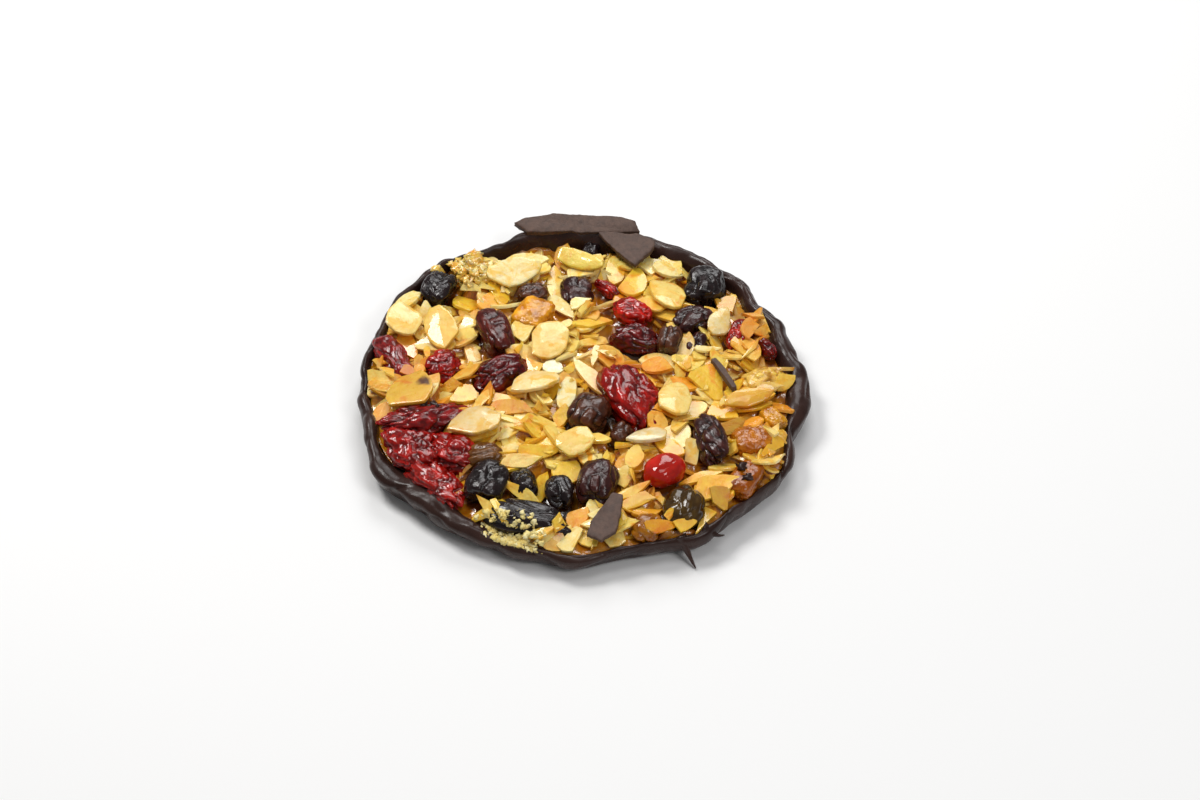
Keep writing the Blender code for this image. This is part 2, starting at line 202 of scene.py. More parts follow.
BANDS, RISES = heap_rise()


def dome(x, y):
    """Level of the heap's top at a place."""
    return np.interp(np.hypot(x, y), BANDS, RISES)


def dish_outline():
    """Outer radius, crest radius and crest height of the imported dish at 720 angles: the outermost and the
    highest point in each sector of 6 degrees, joined round and blurred."""
    points = node_points("chocolate_dish")
    angle = np.degrees(np.arctan2(points[:, 1], points[:, 0])) % 360
    reach = np.hypot(points[:, 0], points[:, 1])
    edge, crest = [], []
    for sector in np.arange(3, 360, 6.0):
        near = np.flatnonzero(np.abs(angle - sector) <= 3.0)
        edge.append((angle[near[np.argmax(reach[near])]], reach[near].max()))
        top = near[np.argmax(points[near, 2])]
        crest.append((angle[top], reach[top], points[top, 2]))
    edge, crest = np.array(sorted(edge)), np.array(sorted(crest))
    turns = np.arange(0, 360, 0.5)
    found = [
        np.interp(turns, edge[:, 0], edge[:, 1], period=360),
        np.interp(turns, crest[:, 0], crest[:, 1], period=360),
        np.interp(turns, crest[:, 0], crest[:, 2], period=360),
    ]
    bell = np.exp(-(np.arange(-10, 11) / 4.0) ** 2)
    bell /= bell.sum()
    return [np.convolve(np.pad(line, 10, mode="wrap"), bell, mode="valid") for line in found]


EDGE, CREST, RIM = dish_outline()
TURNS = np.radians(np.arange(0, 360, 0.5))
# Wide and narrow stretches of the rim: middle and spread in degrees, width added there.
RIM_STRETCHES = ((76, 9, 2.2), (212, 9, 2.4), (238, 11, 1.3), (354, 7, 1.2), (300, 26, -0.9))


def degrees_from(middle):
    """How far each of the dish's turns is from an angle, -180 to 180 degrees."""
    return (np.degrees(TURNS) - middle + 180) % 360 - 180


WIDTH = np.clip(2 * (EDGE - CREST), 2.4, 4.0)
WIDTH = WIDTH + sum(more * np.exp(-degrees_from(middle) ** 2 / (2 * spread ** 2))
                    for middle, spread, more in RIM_STRETCHES)
RIM = RIM + 1.0 * np.exp(-(np.degrees(TURNS) - 92) ** 2 / 400)  # higher at the back, under the long shard


def round_dish(values, x, y):
    """One of the dish's outlines at the angle of a place."""
    return np.interp(np.degrees(np.arctan2(y, x)) % 360, np.degrees(TURNS), values, period=360)


# ---------------------------------------------------------------- materials

class Recipe:
    """A Principled material put together a node at a time."""

    def __init__(self, name):
        self.material = bpy.data.materials.new(name)
        self.material.use_nodes = True
        self.nodes = self.material.node_tree.nodes
        self.links = self.material.node_tree.links
        self.shader = self.nodes["Principled BSDF"]
        self.place = self.nodes.new("ShaderNodeTexCoord").outputs["Object"]
        self.height = None

    def set(self, **values):
        """Plain values on the shader's own sockets, with _ for a space."""
        for name, value in values.items():
            self.shader.inputs[name.replace("_", " ")].default_value = value
        return self

    def grain(self, size, detail=3.0, rough=0.55, stretch=(1, 1, 1), distortion=0.0):
        """Noise 0 to 1 whose lumps are about size millimetres across."""
        scaled = self.nodes.new("ShaderNodeMapping")
        scaled.inputs["Scale"].default_value = stretch
        self.links.new(self.place, scaled.inputs["Vector"])
        noise = self.nodes.new("ShaderNodeTexNoise")
        noise.inputs["Scale"].default_value = 1 / (size * MM)
        noise.inputs["Detail"].default_value = detail
        noise.inputs["Roughness"].default_value = rough
        noise.inputs["Distortion"].default_value = distortion
        self.links.new(scaled.outputs["Vector"], noise.inputs["Vector"])
        return noise.outputs["Fac"]

    def spread(self, value, low, high, to_low=0.0, to_high=1.0):
        """A value stretched from low..high to another range, and clamped."""
        mapped = self.nodes.new("ShaderNodeMapRange")
        for number, amount in enumerate((low, high, to_low, to_high), start=1):
            mapped.inputs[number].default_value = amount
        self.links.new(value, mapped.inputs[0])
        return mapped.outputs[0]

    def tint(self):
        """The colour kept at each point of the mesh."""
        kept = self.nodes.new("ShaderNodeAttribute")
        kept.attribute_name = "tint"
        return kept.outputs["Color"]

    def blend(self, amount, first, second, how="MIX"):
        """Two colours mixed; an amount or a colour may be a number or a socket."""
        mixed = self.nodes.new("ShaderNodeMix")
        mixed.data_type = "RGBA"
        mixed.blend_type = how
        for socket, value in ((mixed.inputs[0], amount), (mixed.inputs[6], first), (mixed.inputs[7], second)):
            if isinstance(value, bpy.types.NodeSocket):
                self.links.new(value, socket)
            else:
                socket.default_value = (*value, 1.0) if isinstance(value, tuple) else value
        return mixed.outputs[2]

    def colour(self, socket):
        """Joins a colour to the base colour."""
        self.links.new(socket, self.shader.inputs["Base Color"])
        return self

    def rough(self, socket):
        """Joins a number to the roughness."""
        self.links.new(socket, self.shader.inputs["Roughness"])
        return self

    def relief(self, value, depth):
        """Bump of a depth in millimetres, over what was there before."""
        bump = self.nodes.new("ShaderNodeBump")
        bump.inputs["Distance"].default_value = depth * MM
        bump.inputs["Strength"].default_value = 1.0
        self.links.new(value, bump.inputs["Height"])
        if self.height is not None:
            self.links.new(self.height, bump.inputs["Normal"])
        self.height = bump.outputs["Normal"]
        self.links.new(self.height, self.shader.inputs["Normal"])
        return self


def chocolate_finish():
    """Dark chocolate set with a soft gloss: smooth, with faint ripples and duller patches."""
    made = Recipe("dark_chocolate").set(Specular_IOR_Level=0.25)
    cloud = made.grain(7.0, 3.0)
    made.colour(made.blend(made.spread(cloud, 0.35, 0.7), (0.024, 0.0105, 0.0080), (0.046, 0.022, 0.0175)))
    made.rough(made.spread(made.grain(4.0, 4.0), 0.3, 0.7, 0.20, 0.36))
    made.relief(made.grain(4.5, 1.0, 0.4), 0.22).relief(made.grain(0.5, 3.0), 0.018)
    return made.material


def shard_finish():
    """Broken chocolate: a dull grey-brown skin with a fine grain and small pits."""
    made = Recipe("broken_chocolate").set(Specular_IOR_Level=0.35)
    grain = made.grain(1.3, 6.0, 0.65)
    made.colour(made.blend(made.spread(grain, 0.3, 0.7), (0.060, 0.032, 0.023), (0.140, 0.085, 0.065)))
    made.rough(made.spread(grain, 0.3, 0.7, 0.50, 0.70))
    made.relief(made.grain(0.35, 4.0, 0.7), 0.08).relief(made.grain(2.2, 2.0), 0.16)
    return made.material


def almond_finish():
    """Sliced almond under a caramel film: fine fibres, faint mottling, orange where the film has pooled, and
    a wet coat that is uneven."""
    made = Recipe("glazed_almond")
    made.set(Coat_Weight=0.75, Coat_Roughness=0.05, Subsurface_Weight=0.22, Subsurface_Scale=0.9 * MM)
    made.set(Subsurface_Radius=(1.0, 0.70, 0.25))
    mottle = made.spread(made.grain(1.3, 5.0, 0.65), 0.38, 0.70)
    flesh = made.blend(mottle, made.tint(), made.blend(1.0, made.tint(), (0.95, 0.82, 0.45), "MULTIPLY"))
    film = made.spread(made.grain(4.2, 5.0, 0.62, distortion=0.8), 0.50, 0.62)
    glazed = made.blend(film, flesh, made.blend(1.0, flesh, (0.97, 0.77, 0.24), "MULTIPLY"))
    pool = made.spread(made.grain(7.5, 3.0, 0.6, distortion=1.2), 0.60, 0.68)
    made.colour(made.blend(pool, glazed, made.blend(1.0, flesh, (0.95, 0.58, 0.12), "MULTIPLY")))
    made.rough(made.spread(made.grain(1.1, 3.0), 0.3, 0.7, 0.24, 0.50))
    made.relief(made.grain(0.6, 5.0, 0.65, stretch=(1.0, 1.0, 2.0)), 0.12).relief(made.grain(2.6, 2.0), 0.34)
    return made.material


def caramel_finish():
    """Clear amber caramel in the colour of its tint, very glossy: on the bed golden, and deep orange-brown
    with painted shade where it lies deep among the slices.
    """
    made = Recipe("amber_caramel")
    made.set(Coat_Weight=0.9, Coat_Roughness=0.04, Subsurface_Weight=0.35, Subsurface_Scale=1.2 * MM)
    made.set(Subsurface_Radius=(1.0, 0.45, 0.10))
    patch = made.spread(made.grain(3.0, 4.0), 0.3, 0.7)
    made.colour(made.blend(patch, made.tint(), made.blend(0.6, made.tint(), (0.85, 0.52, 0.20), "MULTIPLY")))
    made.rough(made.spread(made.grain(2.0, 3.0), 0.3, 0.7, 0.12, 0.30))
    made.relief(made.grain(1.4, 3.0), 0.25)
    return made.material


def fruit_finish(name, dark, rough=(0.22, 0.42), coat=0.35, glow=0.0, radius=(1.0, 0.2, 0.1), crinkle=0.5,
                 crinkle_depth=0.07, scale=1.2):
    """Dried or candied fruit: its tint, darkened in patches, with fine crinkles and a sticky coat."""
    made = Recipe(name).set(Specular_IOR_Level=0.42, Coat_Weight=coat, Coat_Roughness=0.06)
    if glow:
        made.set(Subsurface_Weight=glow, Subsurface_Scale=scale * MM, Subsurface_Radius=radius)
    patch = made.spread(made.grain(2.4, 4.0, 0.6), 0.32, 0.68)
    made.colour(made.blend(patch, made.blend(1.0, made.tint(), dark, "MULTIPLY"), made.tint()))
    made.rough(made.spread(made.grain(1.2, 3.0), 0.3, 0.7, *rough))
    made.relief(made.grain(crinkle, 4.0, 0.6, distortion=0.6), crinkle_depth)
    made.relief(made.grain(1.8, 1.0, 0.4, distortion=0.6), 1.6 * crinkle_depth)
    return made.material


def crumb_finish():
    """Dry pale crumb: matt and open."""
    made = Recipe("pale_crumb").set(Specular_IOR_Level=0.3)
    made.colour(made.blend(made.spread(made.grain(0.6, 3.0), 0.3, 0.7), made.tint(), (0.92, 0.76, 0.30)))
    made.rough(made.spread(made.grain(0.8, 2.0), 0.3, 0.7, 0.6, 0.85))
    made.relief(made.grain(0.3, 4.0, 0.7), 0.10)
    return made.material


CHOCOLATE = chocolate_finish()
SHARD = shard_finish()
ALMOND = almond_finish()
CARAMEL = caramel_finish()
CRUMB = crumb_finish()
RAISIN = fruit_finish("raisin_skin", (0.35, 0.22, 0.24), rough=(0.10, 0.28), coat=0.0, crinkle=0.75,
                      crinkle_depth=0.075)
CRANBERRY = fruit_finish("cranberry_skin", (0.22, 0.05, 0.08), rough=(0.06, 0.20), coat=0.1, glow=0.7,
                         radius=(1.0, 0.08, 0.04), crinkle=0.9, crinkle_depth=0.045, scale=2.0)
CHERRY = fruit_finish("candied_cherry", (0.72, 0.40, 0.40), rough=(0.05, 0.12), coat=0.2, glow=0.7,
                      crinkle=1.4, crinkle_depth=0.02, scale=2.4)
CURRANT = fruit_finish("currant_skin", (0.35, 0.25, 0.20), rough=(0.08, 0.18), coat=0.1, crinkle=1.0,
                       crinkle_depth=0.035)
PEEL = fruit_finish("candied_peel", (0.52, 0.34, 0.18), rough=(0.10, 0.26), coat=0.1, glow=0.30,
                    radius=(1.0, 0.60, 0.10), crinkle=0.9, crinkle_depth=0.06, scale=1.2)


# ---------------------------------------------------------------- dried fruit and peel

# Each skin function gives the distance from the middle in the directions out, about 1 at a node's half size.
# depth scales its folds, and seed picks its share of the random fields.

SKIN_RINGS, SKIN_AROUND = 56, 84


def skin_grid(along, around):
    """Directions over a ball whose poles are on X: rings at even angles, without the poles."""
    down = (np.arange(along) + 1) / (along + 1) * np.pi
    turn = np.arange(around) / around * 2 * np.pi
    down, turn = np.meshgrid(down, turn, indexing="ij")
    return np.stack([np.cos(down), np.sin(down) * np.cos(turn), np.sin(down) * np.sin(turn)], -1)


def raisin_skin(out, seed, depth=1.0):
    """A squarish ball (the 2.9th-power one) pushed out of round, swollen by a few broad folds that run
    lengthwise with sharp creases between them, and faintly crinkled all over."""
    block = (np.abs(out) ** 2.9).sum(-1) ** (-1 / 2.9)
    lengthwise = folds(out * [1.0, 1.7, 1.7] + 0.35 * field(out * 1.8, seed + 5)[..., None], seed)
    crinkle = folds(out * [3.0, 5.2, 5.2] + 0.5 * field(out * 2.6, seed + 6)[..., None], seed + 1)
    bulge, pores = field(out * 1.1, seed + 2), field(out * 13, seed + 3)
    return 0.79 * block + 0.19 * bulge + depth * (0.27 * lengthwise + 0.050 * crinkle + 0.012 * pores)


def cranberry_skin(out, seed, depth=1.0):
    """A berry cut open and fallen in: the 2.4th-power ball pushed far out of round, with broad hollows, a
    few deep torn folds and fine crinkles."""
    block = (np.abs(out) ** 2.4).sum(-1) ** (-1 / 2.4)
    hollow = field(out * 1.05, seed)
    deep = folds(out * [1.3, 1.9, 1.9] + 0.7 * field(out * 1.7, seed + 4)[..., None], seed + 1)
    fine = folds(out * 5.4 + 0.6 * field(out * 3.0, seed + 5)[..., None], seed + 2)
    pores = field(out * 13, seed + 3)
    return 0.77 * block + 0.22 * hollow + depth * (0.34 * deep + 0.055 * fine + 0.020 * pores)


def torn_flesh(out, seed, depth=1.0):
    """Berries torn open and run together: ragged lobes of two sizes, wet and full of small folds."""
    lobes = folds(out * 1.9 + 0.9 * field(out * 1.5, seed + 4)[..., None], seed)
    shreds = folds(out * 4.2 + 0.8 * field(out * 2.4, seed + 5)[..., None], seed + 1)
    ball = 0.74 + 0.24 * field(out * 1.2, seed + 2)
    return ball + depth * (0.42 * lobes + 0.17 * shreds + 0.05 * field(out * 9, seed + 3))


def peel_block(out, seed, depth=1.0):
    """A cut cube with soft corners: the 4.5th-power ball, with a pitted, sugared surface."""
    cube = (np.abs(out) ** 4.5).sum(-1) ** (-1 / 4.5)
    pits, sugar = folds(out * 4.2, seed + 1), field(out * 11, seed + 2)
    return 0.82 * cube + 0.07 * field(out * 1.6, seed) + depth * (0.09 * pits + 0.03 * sugar)


def smooth_berry(out, seed, depth=1.0):
    """A plump berry with a few shallow dimples."""
    return 0.93 + 0.09 * field(out * 1.3, seed) + depth * 0.05 * folds(out * 2.4, seed + 1)


def currant_skin(out, seed, depth=1.0):
    """A round berry with soft ridges from end to end."""
    ridges, crinkle = folds(out * [0.8, 2.2, 2.2], seed + 1), folds(out * 5, seed + 2)
    return 0.88 + 0.05 * field(out * 1.3, seed) + depth * (0.16 * ridges + 0.03 * crinkle)


def ginger_lump(out, seed, depth=1.0):
    """Several soft lumps run together: broad folds over a rough ball."""
    ball = 0.80 + 0.10 * field(out * 1.4, seed) + 0.26 * folds(out * 2.3, seed + 1)
    return ball + depth * 0.05 * folds(out * 6, seed + 2)


BLACK, PLUM, RUSSET = (0.016, 0.0085, 0.0085), (0.055, 0.014, 0.011), (0.105, 0.012, 0.006)
BROWN, WINE, ROSE = (0.10, 0.032, 0.013), (0.17, 0.005, 0.004), (0.42, 0.014, 0.008)
DEEP_RED, RUBY = (0.38, 0.008, 0.004), (0.66, 0.018, 0.007)
FRUIT_TINTS = {  # for a kind, and for the pieces that differ from their kind
    "raisin": PLUM, "raisin_back_left": BLACK, "raisin_back_rim": BLACK, "raisin_behind_peel": BROWN,
    "raisin_centre": BROWN, "raisin_centre_right": BROWN, "raisin_centre_small": BROWN,
    "raisin_front_left": BLACK, "raisin_front_left_of_centre": BLACK, "raisin_front_sunk": BLACK,
    "raisin_large_back_right": BLACK, "raisin_long_front": BLACK, "raisin_long_left": RUSSET,
    "cranberry": DEEP_RED, "cranberry_back_centre": RUBY, "cranberry_dark_centre": WINE,
    "cranberry_heap_front": ROSE, "cranberry_heap_top": (0.30, 0.010, 0.009),
    "cranberry_left_of_centre": WINE, "cranberry_left_rim": (0.30, 0.016, 0.014),
    "cranberry_right": (0.50, 0.020, 0.012), "cranberry_right_rim": WINE, "cranberry_strip_back": ROSE,
    "cherry": (0.54, 0.018, 0.008), "currant": (0.078, 0.040, 0.005), "ginger": (0.92, 0.60, 0.11),
    "sultana": (0.42, 0.165, 0.006), "sultana_left_of_centre": (0.20, 0.085, 0.02),
    "peel": (0.60, 0.20, 0.004), "peel_back_left": (0.84, 0.38, 0.010),
    "peel_front_right": (0.46, 0.135, 0.003), "peel_right_rim": (0.70, 0.33, 0.01),
}
FRUIT_KINDS = {
    "raisin": (raisin_skin, RAISIN, "raisin"), "cranberry": (cranberry_skin, CRANBERRY, "cranberry"),
    "cherry": (smooth_berry, CHERRY, "cherry"), "currant": (currant_skin, CURRANT, "currant"),
    "sultana": (raisin_skin, PEEL, "sultana"), "peel": (peel_block, PEEL, "candied_peel"),
    "ginger": (ginger_lump, PEEL, "candied_ginger"),
}
# How strongly a kind's tint is painted darker in its creases and lighter on its folds: painted shade and
# painted light.
CREASE_PAINTED_SHADE = {"raisin": 0.50, "cranberry": 0.32}
FAINT_CREASE_PAINTED_SHADE = 0.12
# Growth past the node's size along its three axes, which fills the gap round it.
USUAL_GROWTH, TORN_GROWTH, SNUG_GROWTH = (1.12, 1.13, 1.05), (1.22, 1.30, 1.0), (1.02, 1.02, 0.97)
GROWN = {"raisin_large_back_right": SNUG_GROWTH, "raisin_back_left": SNUG_GROWTH,
         "raisin_long_front": (1.36, 1.22, 1.10)}
# Fruit that lies in a deep hollow, which no slice covers; the caramel round it is painted dark, as painted
# shade.
PAINTED_SHADE_HOLLOWS = ("cranberry_dark_centre", "raisin_behind_peel", "raisin_front_left_of_centre",
                "raisin_centre_small", "raisin_centre")


def blurred_round(values):
    """A grid on a ball averaged over its neighbours, three to each side, closed in its second direction."""
    rows = np.arange(len(values))
    values = sum(np.roll(values, k, axis=1) for k in range(-3, 4)) / 7
    return sum(values[np.clip(rows + k, 0, len(rows) - 1)] for k in range(-3, 4)) / 7


def dried_fruit(name, seed):
    """One fruit in the place of its node: a ball of directions, each times the node's half sizes and the
    skin's distance in that direction. Its tint varies at random, and is painted darker as a point lies below
    the skin's blurred distance and lighter above it: painted shade in the creases, painted light on the
    folds."""
    kind = name.split("_")[0]
    skin, material, slot = FRUIT_KINDS[kind]
    middle, axes, half = LAYS[name]
    grown = np.array(GROWN.get(name, USUAL_GROWTH))
    if name.startswith("cranberry_heap"):
        skin, grown = torn_flesh, np.array(TORN_GROWTH)
    out = skin_grid(SKIN_RINGS, SKIN_AROUND)
    reach = skin(out, seed, 0.75 + 0.3 * (seed % 4) / 3)
    rings = out * reach[..., None] * (half * grown) @ axes + middle
    points = with_poles(rings)
    tint = np.array(FRUIT_TINTS.get(name, FRUIT_TINTS[kind]))
    # Painted shade in the creases and painted light on the folds: the tint is darker below the skin's blurred
    # distance and lighter above it.
    crease_painted_shade = np.clip((reach - blurred_round(reach)) / 0.035, -1, 1).ravel()
    crease_painted_shade = np.concatenate([crease_painted_shade, [0, 0]])  # none at the poles
    tone_and_painted_shade = 1.0 + 0.25 * field(points * 0.35, seed + 9) + CREASE_PAINTED_SHADE.get(kind, FAINT_CREASE_PAINTED_SHADE) * crease_painted_shade
    put_skin(name + "_skin", rings, material, tint * tone_and_painted_shade[:, None], (name,))


for number, fruit in enumerate(FRUITS):
    dried_fruit(fruit, 3 * number + 1)


# ---------------------------------------------------------------- levels: what lies where

# Maps of the cookie from above, on a square grid: the level of what has been laid so far, the ceiling that
# chance slices stay under, and how near fruit, red fruit and the hollows with painted shade are, 0 to 1.
HALF, CELL = 51.0, 0.3
BARE_DROP, HEADROOM, EDGE_RISE = 2.6, 1.8, 0.9  # heap's top to bare core, and to ceiling; more by the rim
NO_SLICES = -1.0  # a ceiling that nothing fits under
SPOTS = np.arange(-HALF, HALF + CELL / 2, CELL)
GX, GY = np.meshgrid(SPOTS, SPOTS, indexing="ij")
GREACH = np.hypot(GX, GY)
INSIDE = round_dish(EDGE - WIDTH, GX, GY)
level = np.where(GREACH < INSIDE, dome(GX, GY) - BARE_DROP, round_dish(RIM, GX, GY) * 0.92)
level[GREACH > round_dish(EDGE, GX, GY) - 0.6] = 0.0
EDGE_FILL = smooth_step(GREACH, 34, 43)
ceiling = dome(GX, GY) + HEADROOM + EDGE_RISE * EDGE_FILL
level = level + EDGE_RISE * EDGE_FILL * (GREACH < INSIDE)
fruit_cover = np.zeros_like(level)
red_near = np.zeros_like(level)
painted_shade_hollow_near = np.zeros_like(level)


def spot(x, y):
    """Grid indices of places."""
    return (np.clip(np.rint((np.asarray(x) + HALF) / CELL).astype(int), 0, len(SPOTS) - 1),
            np.clip(np.rint((np.asarray(y) + HALF) / CELL).astype(int), 0, len(SPOTS) - 1))


for fruit in FRUITS:
    middle, axes, half = LAYS[fruit]
    east = ((GX - middle[0]) * axes[0, 0] + (GY - middle[1]) * axes[0, 1]) / half[0]
    north = ((GX - middle[0]) * axes[1, 0] + (GY - middle[1]) * axes[1, 1]) / half[1]
    away = np.hypot(east, north) / 1.06
    top = middle[2] + half[2] * np.sqrt(np.clip(1 - away ** 2, 0, 1))
    level = np.where(away < 1, np.maximum(level, top), level)
    fruit_cover = np.maximum(fruit_cover, np.clip(1.25 - away, 0, 1))
    if fruit.startswith(("cranberry", "cherry")):
        red_near = np.maximum(red_near, np.exp(-np.clip(away - 1, 0, 9) ** 2 / 0.35))
    if fruit in PAINTED_SHADE_HOLLOWS:
        painted_shade_hollow_near = np.maximum(painted_shade_hollow_near, np.exp(-np.clip(away - 1, 0, 9) ** 2 / 0.10))
ceiling[(fruit_cover > 0.62) | (painted_shade_hollow_near > 0.45)] = NO_SLICES


# ---------------------------------------------------------------- almond slices

SLICE_AROUND = 18
SLICE_RINGS = ((0.965, 1.0), (1.0, 0.6), (1.0, -1.0))  # reach, share of half thickness
MOST_FRUIT_HIDDEN = 0.22  # share of a chance slice that may lie on fruit
MOST_TOO_HIGH = 0.06  # share of it that may stand above the ceiling


def slice_outline(length, width, pointed, breaks):
    """Outline of a slice at even turns: an ellipse drawn out to a point at +X, then each break pulls what
    lies beyond a straight line back onto that line."""
    turn = np.arange(SLICE_AROUND) / SLICE_AROUND * 2 * np.pi
    x, y = np.cos(turn), np.sin(turn)
    line = np.stack([x * length / 2, y * width / 2 * (0.5 - 0.5 * x + 0.02) ** (0.55 * pointed)], -1)
    for direction, share in breaks:
        normal = np.array([math.cos(direction), math.sin(direction)])
        beyond = line @ normal - share * 0.5 * (length * abs(normal[0]) + width * abs(normal[1]))
        line = line - np.clip(beyond, 0, None)[:, None] * normal
    return line


def slice_form(line, thick, bend, seed):
    """A slice from its outline: rings that shrink to the middle above and below, on a sheet bent as
    bend[0] x^2 + bend[1] y^2 + bend[2] x y, with a slightly wavy edge."""
    rings = []
    wobble = 1 + 0.05 * field(np.column_stack([line, np.full(len(line), seed * 1.7)]), seed % 7)[:, None]
    for reach, share in SLICE_RINGS:
        flat = line * wobble * reach
        rise = bend[0] * flat[:, 0] ** 2 + bend[1] * flat[:, 1] ** 2 + bend[2] * flat[:, 0] * flat[:, 1]
        rings.append(np.column_stack([flat, rise + share * thick / 2]))
    return with_poles(np.array(rings))


def lay_slice(x, y, turn, line, thick, bend, most_tilt=0.85, sink=0.2, shape_seed=0, jitter=0.27, free=False):
    """Drops a slice on the pile, drawn in from the rim if it would hang over. It tilts as the plane that
    best fits the levels under it, give or take jitter, and comes down until four fifths of the levels lie
    below its underside, and a little further by sink. Returns its points, or None where it would stand
    above its ceiling or hide fruit, which a free slice may do."""
    turned = np.array([[math.cos(turn), -math.sin(turn)], [math.sin(turn), math.cos(turn)]])
    samples = np.concatenate([line, line * 0.62, line * 0.25]) @ turned.T
    places = samples + [x, y]
    over = np.hypot(*places.T) - round_dish(EDGE - 0.6 * WIDTH, *places.T)
    inward = 1 - max(over.max(), 0) / (math.hypot(x, y) + 1e-6)
    x, y = x * inward, y * inward
    at = spot(samples[:, 0] + x, samples[:, 1] + y)
    if not free and (fruit_cover[at] > 0.5).mean() > MOST_FRUIT_HIDDEN:
        return None
    under = level[at]
    plane, *_ = np.linalg.lstsq(np.column_stack([samples, np.ones(len(samples))]), under, rcond=None)
    slope = plane[:2] + RNG.normal(0, jitter, 2)
    slope *= min(1.0, most_tilt / (np.hypot(*slope) + 1e-6))
    rest = np.percentile(under - samples @ slope, 80) + thick / 2 - sink
    form = slice_form(line, thick, bend, shape_seed)
    normal = np.array([-slope[0], -slope[1], 1.0])
    normal /= np.linalg.norm(normal)
    east = np.array([turned[0, 0], turned[1, 0], 0.0])
    east -= normal * (east @ normal)
    east /= np.linalg.norm(east)
    placed = form @ np.stack([east, np.cross(normal, east), normal]) + [x, y, rest]
    low, high = spot(*(placed[:, :2].min(0))), spot(*(placed[:, :2].max(0)))
    patch = np.s_[low[0]:high[0] + 1, low[1]:high[1] + 1]
    dx, dy = GX[patch] - x, GY[patch] - y
    local = np.stack([dx, dy], -1) @ turned
    angles = np.arctan2(line[:, 1], line[:, 0])
    order = np.argsort(angles)
    around = np.arctan2(local[..., 1], local[..., 0])
    reach = np.interp(around, angles[order], np.hypot(*line[order].T), period=2 * np.pi)
    covered = np.hypot(local[..., 0], local[..., 1]) < reach
    top = rest + dx * slope[0] + dy * slope[1] + thick / 2
    if not free and (top > ceiling[patch])[covered].mean() > MOST_TOO_HIGH:
        return None
    level[patch] = np.where(covered, np.maximum(level[patch], top), level[patch])
    if free:
        ceiling[patch] = np.where(covered, np.minimum(ceiling[patch], top + 0.3), ceiling[patch])
    return placed


PALE, CREAM, GOLDEN = (0.97, 0.81, 0.37), (0.95, 0.73, 0.19), (0.93, 0.63, 0.050)
AMBER, ORANGE, TAN = (0.80, 0.42, 0.014), (0.92, 0.45, 0.030), (0.84, 0.63, 0.28)
OLIVE, WHITE, PINK = (0.66, 0.42, 0.014), (0.90, 0.87, 0.60), (0.96, 0.68, 0.30)

slices, slice_tints = [], []


def keep(form, tone):
    """Notes a laid slice with its colour."""
    if form is not None:
        slices.append(form)
        slice_tints.append(np.array(tone))


def random_slice(size):
    """Outline, thickness and bend of a chance slice, with one to four breaks; one in five is a splinter."""
    length = RNG.uniform(8.5, 12.5) * size
    width = length * RNG.uniform(0.60, 0.90)
    breaks = [(RNG.uniform(0, 2 * np.pi), RNG.uniform(0.0, 0.7)) for _ in range(RNG.integers(1, 5))]
    line = slice_outline(length, width, RNG.uniform(0.0, 0.7), breaks)
    line -= line.mean(0)
    if RNG.random() < 0.2:
        line[:, 1] *= 0.45
    return line, RNG.uniform(0.38, 0.75), RNG.normal(0, 1, 3) * [0.012, 0.026, 0.018]


def chance_tone():
    """A tone between pale cream and golden amber."""
    tones = np.array([PALE, PALE, CREAM, CREAM, GOLDEN, GOLDEN, AMBER])
    first, second = tones[RNG.integers(len(tones))], tones[RNG.integers(len(tones))]
    return first + (second - first) * RNG.uniform(0, 0.6)


def scatter(count, size, lower=0.0):
    """Tries to drop chance slices over the heap, evenly by area, with their ceiling lowered by an amount."""
    ceiling[...] -= lower
    for number in range(count):
        reach, turn = 46.0 * math.sqrt(RNG.random()), RNG.uniform(0, 2 * np.pi)
        x, y = reach * math.cos(turn), reach * math.sin(turn)
        if reach > round_dish(EDGE - WIDTH, x, y) - 1.0:
            continue
        line, thick, bend = random_slice(size)
        keep(lay_slice(x, y, RNG.uniform(0, 2 * np.pi), line, thick, bend, shape_seed=number), chance_tone())
    ceiling[...] += lower


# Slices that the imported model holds: each is rebuilt in its node's place, with its own tone.
CAD_SLICES = [name for name in NODES if name.startswith("almond_slice")]
CAD_TONES = dict(zip(CAD_SLICES, (
    (0.82, 0.64, 0.32), (0.78, 0.48, 0.045), (0.96, 0.74, 0.26), (0.94, 0.67, 0.20), (0.96, 0.84, 0.46),
    (0.86, 0.67, 0.100), (0.94, 0.71, 0.20), (0.84, 0.70, 0.38), (0.96, 0.82, 0.50), (0.90, 0.68, 0.18),
    (0.86, 0.77, 0.52), (0.95, 0.73, 0.24), (0.80, 0.48, 0.022), (0.92, 0.62, 0.12),
)))


def plate_of(name):
    """Middle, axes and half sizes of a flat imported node, by its own spread in three directions."""
    points = node_points(name)
    _, _, axes = np.linalg.svd(points - points.mean(0), full_matrices=False)
    axes[2] *= np.sign(axes[2, 2])
    axes[1] = np.cross(axes[2], axes[0])
    local = points @ axes.T
    low, high = local.min(0), local.max(0)
    return (low + high) / 2 @ axes, axes, (high - low) / 2


def hull_line(flat, around):
    """The outermost points of a flat set, taken by their reach in 720 directions, joined and stepped along
    evenly."""
    way = np.arange(720) / 720 * 2 * np.pi
    ring = flat[np.argmax(flat @ np.stack([np.cos(way), np.sin(way)]), axis=0)]
    closed = np.concatenate([ring, ring[:1]])
    length = np.concatenate([[0], np.cumsum(np.hypot(*np.diff(closed, axis=0).T))])
    walk = np.linspace(0, length[-1], around, endpoint=False)
    return np.stack([np.interp(walk, length, closed[:, k]) for k in (0, 1)], -1)


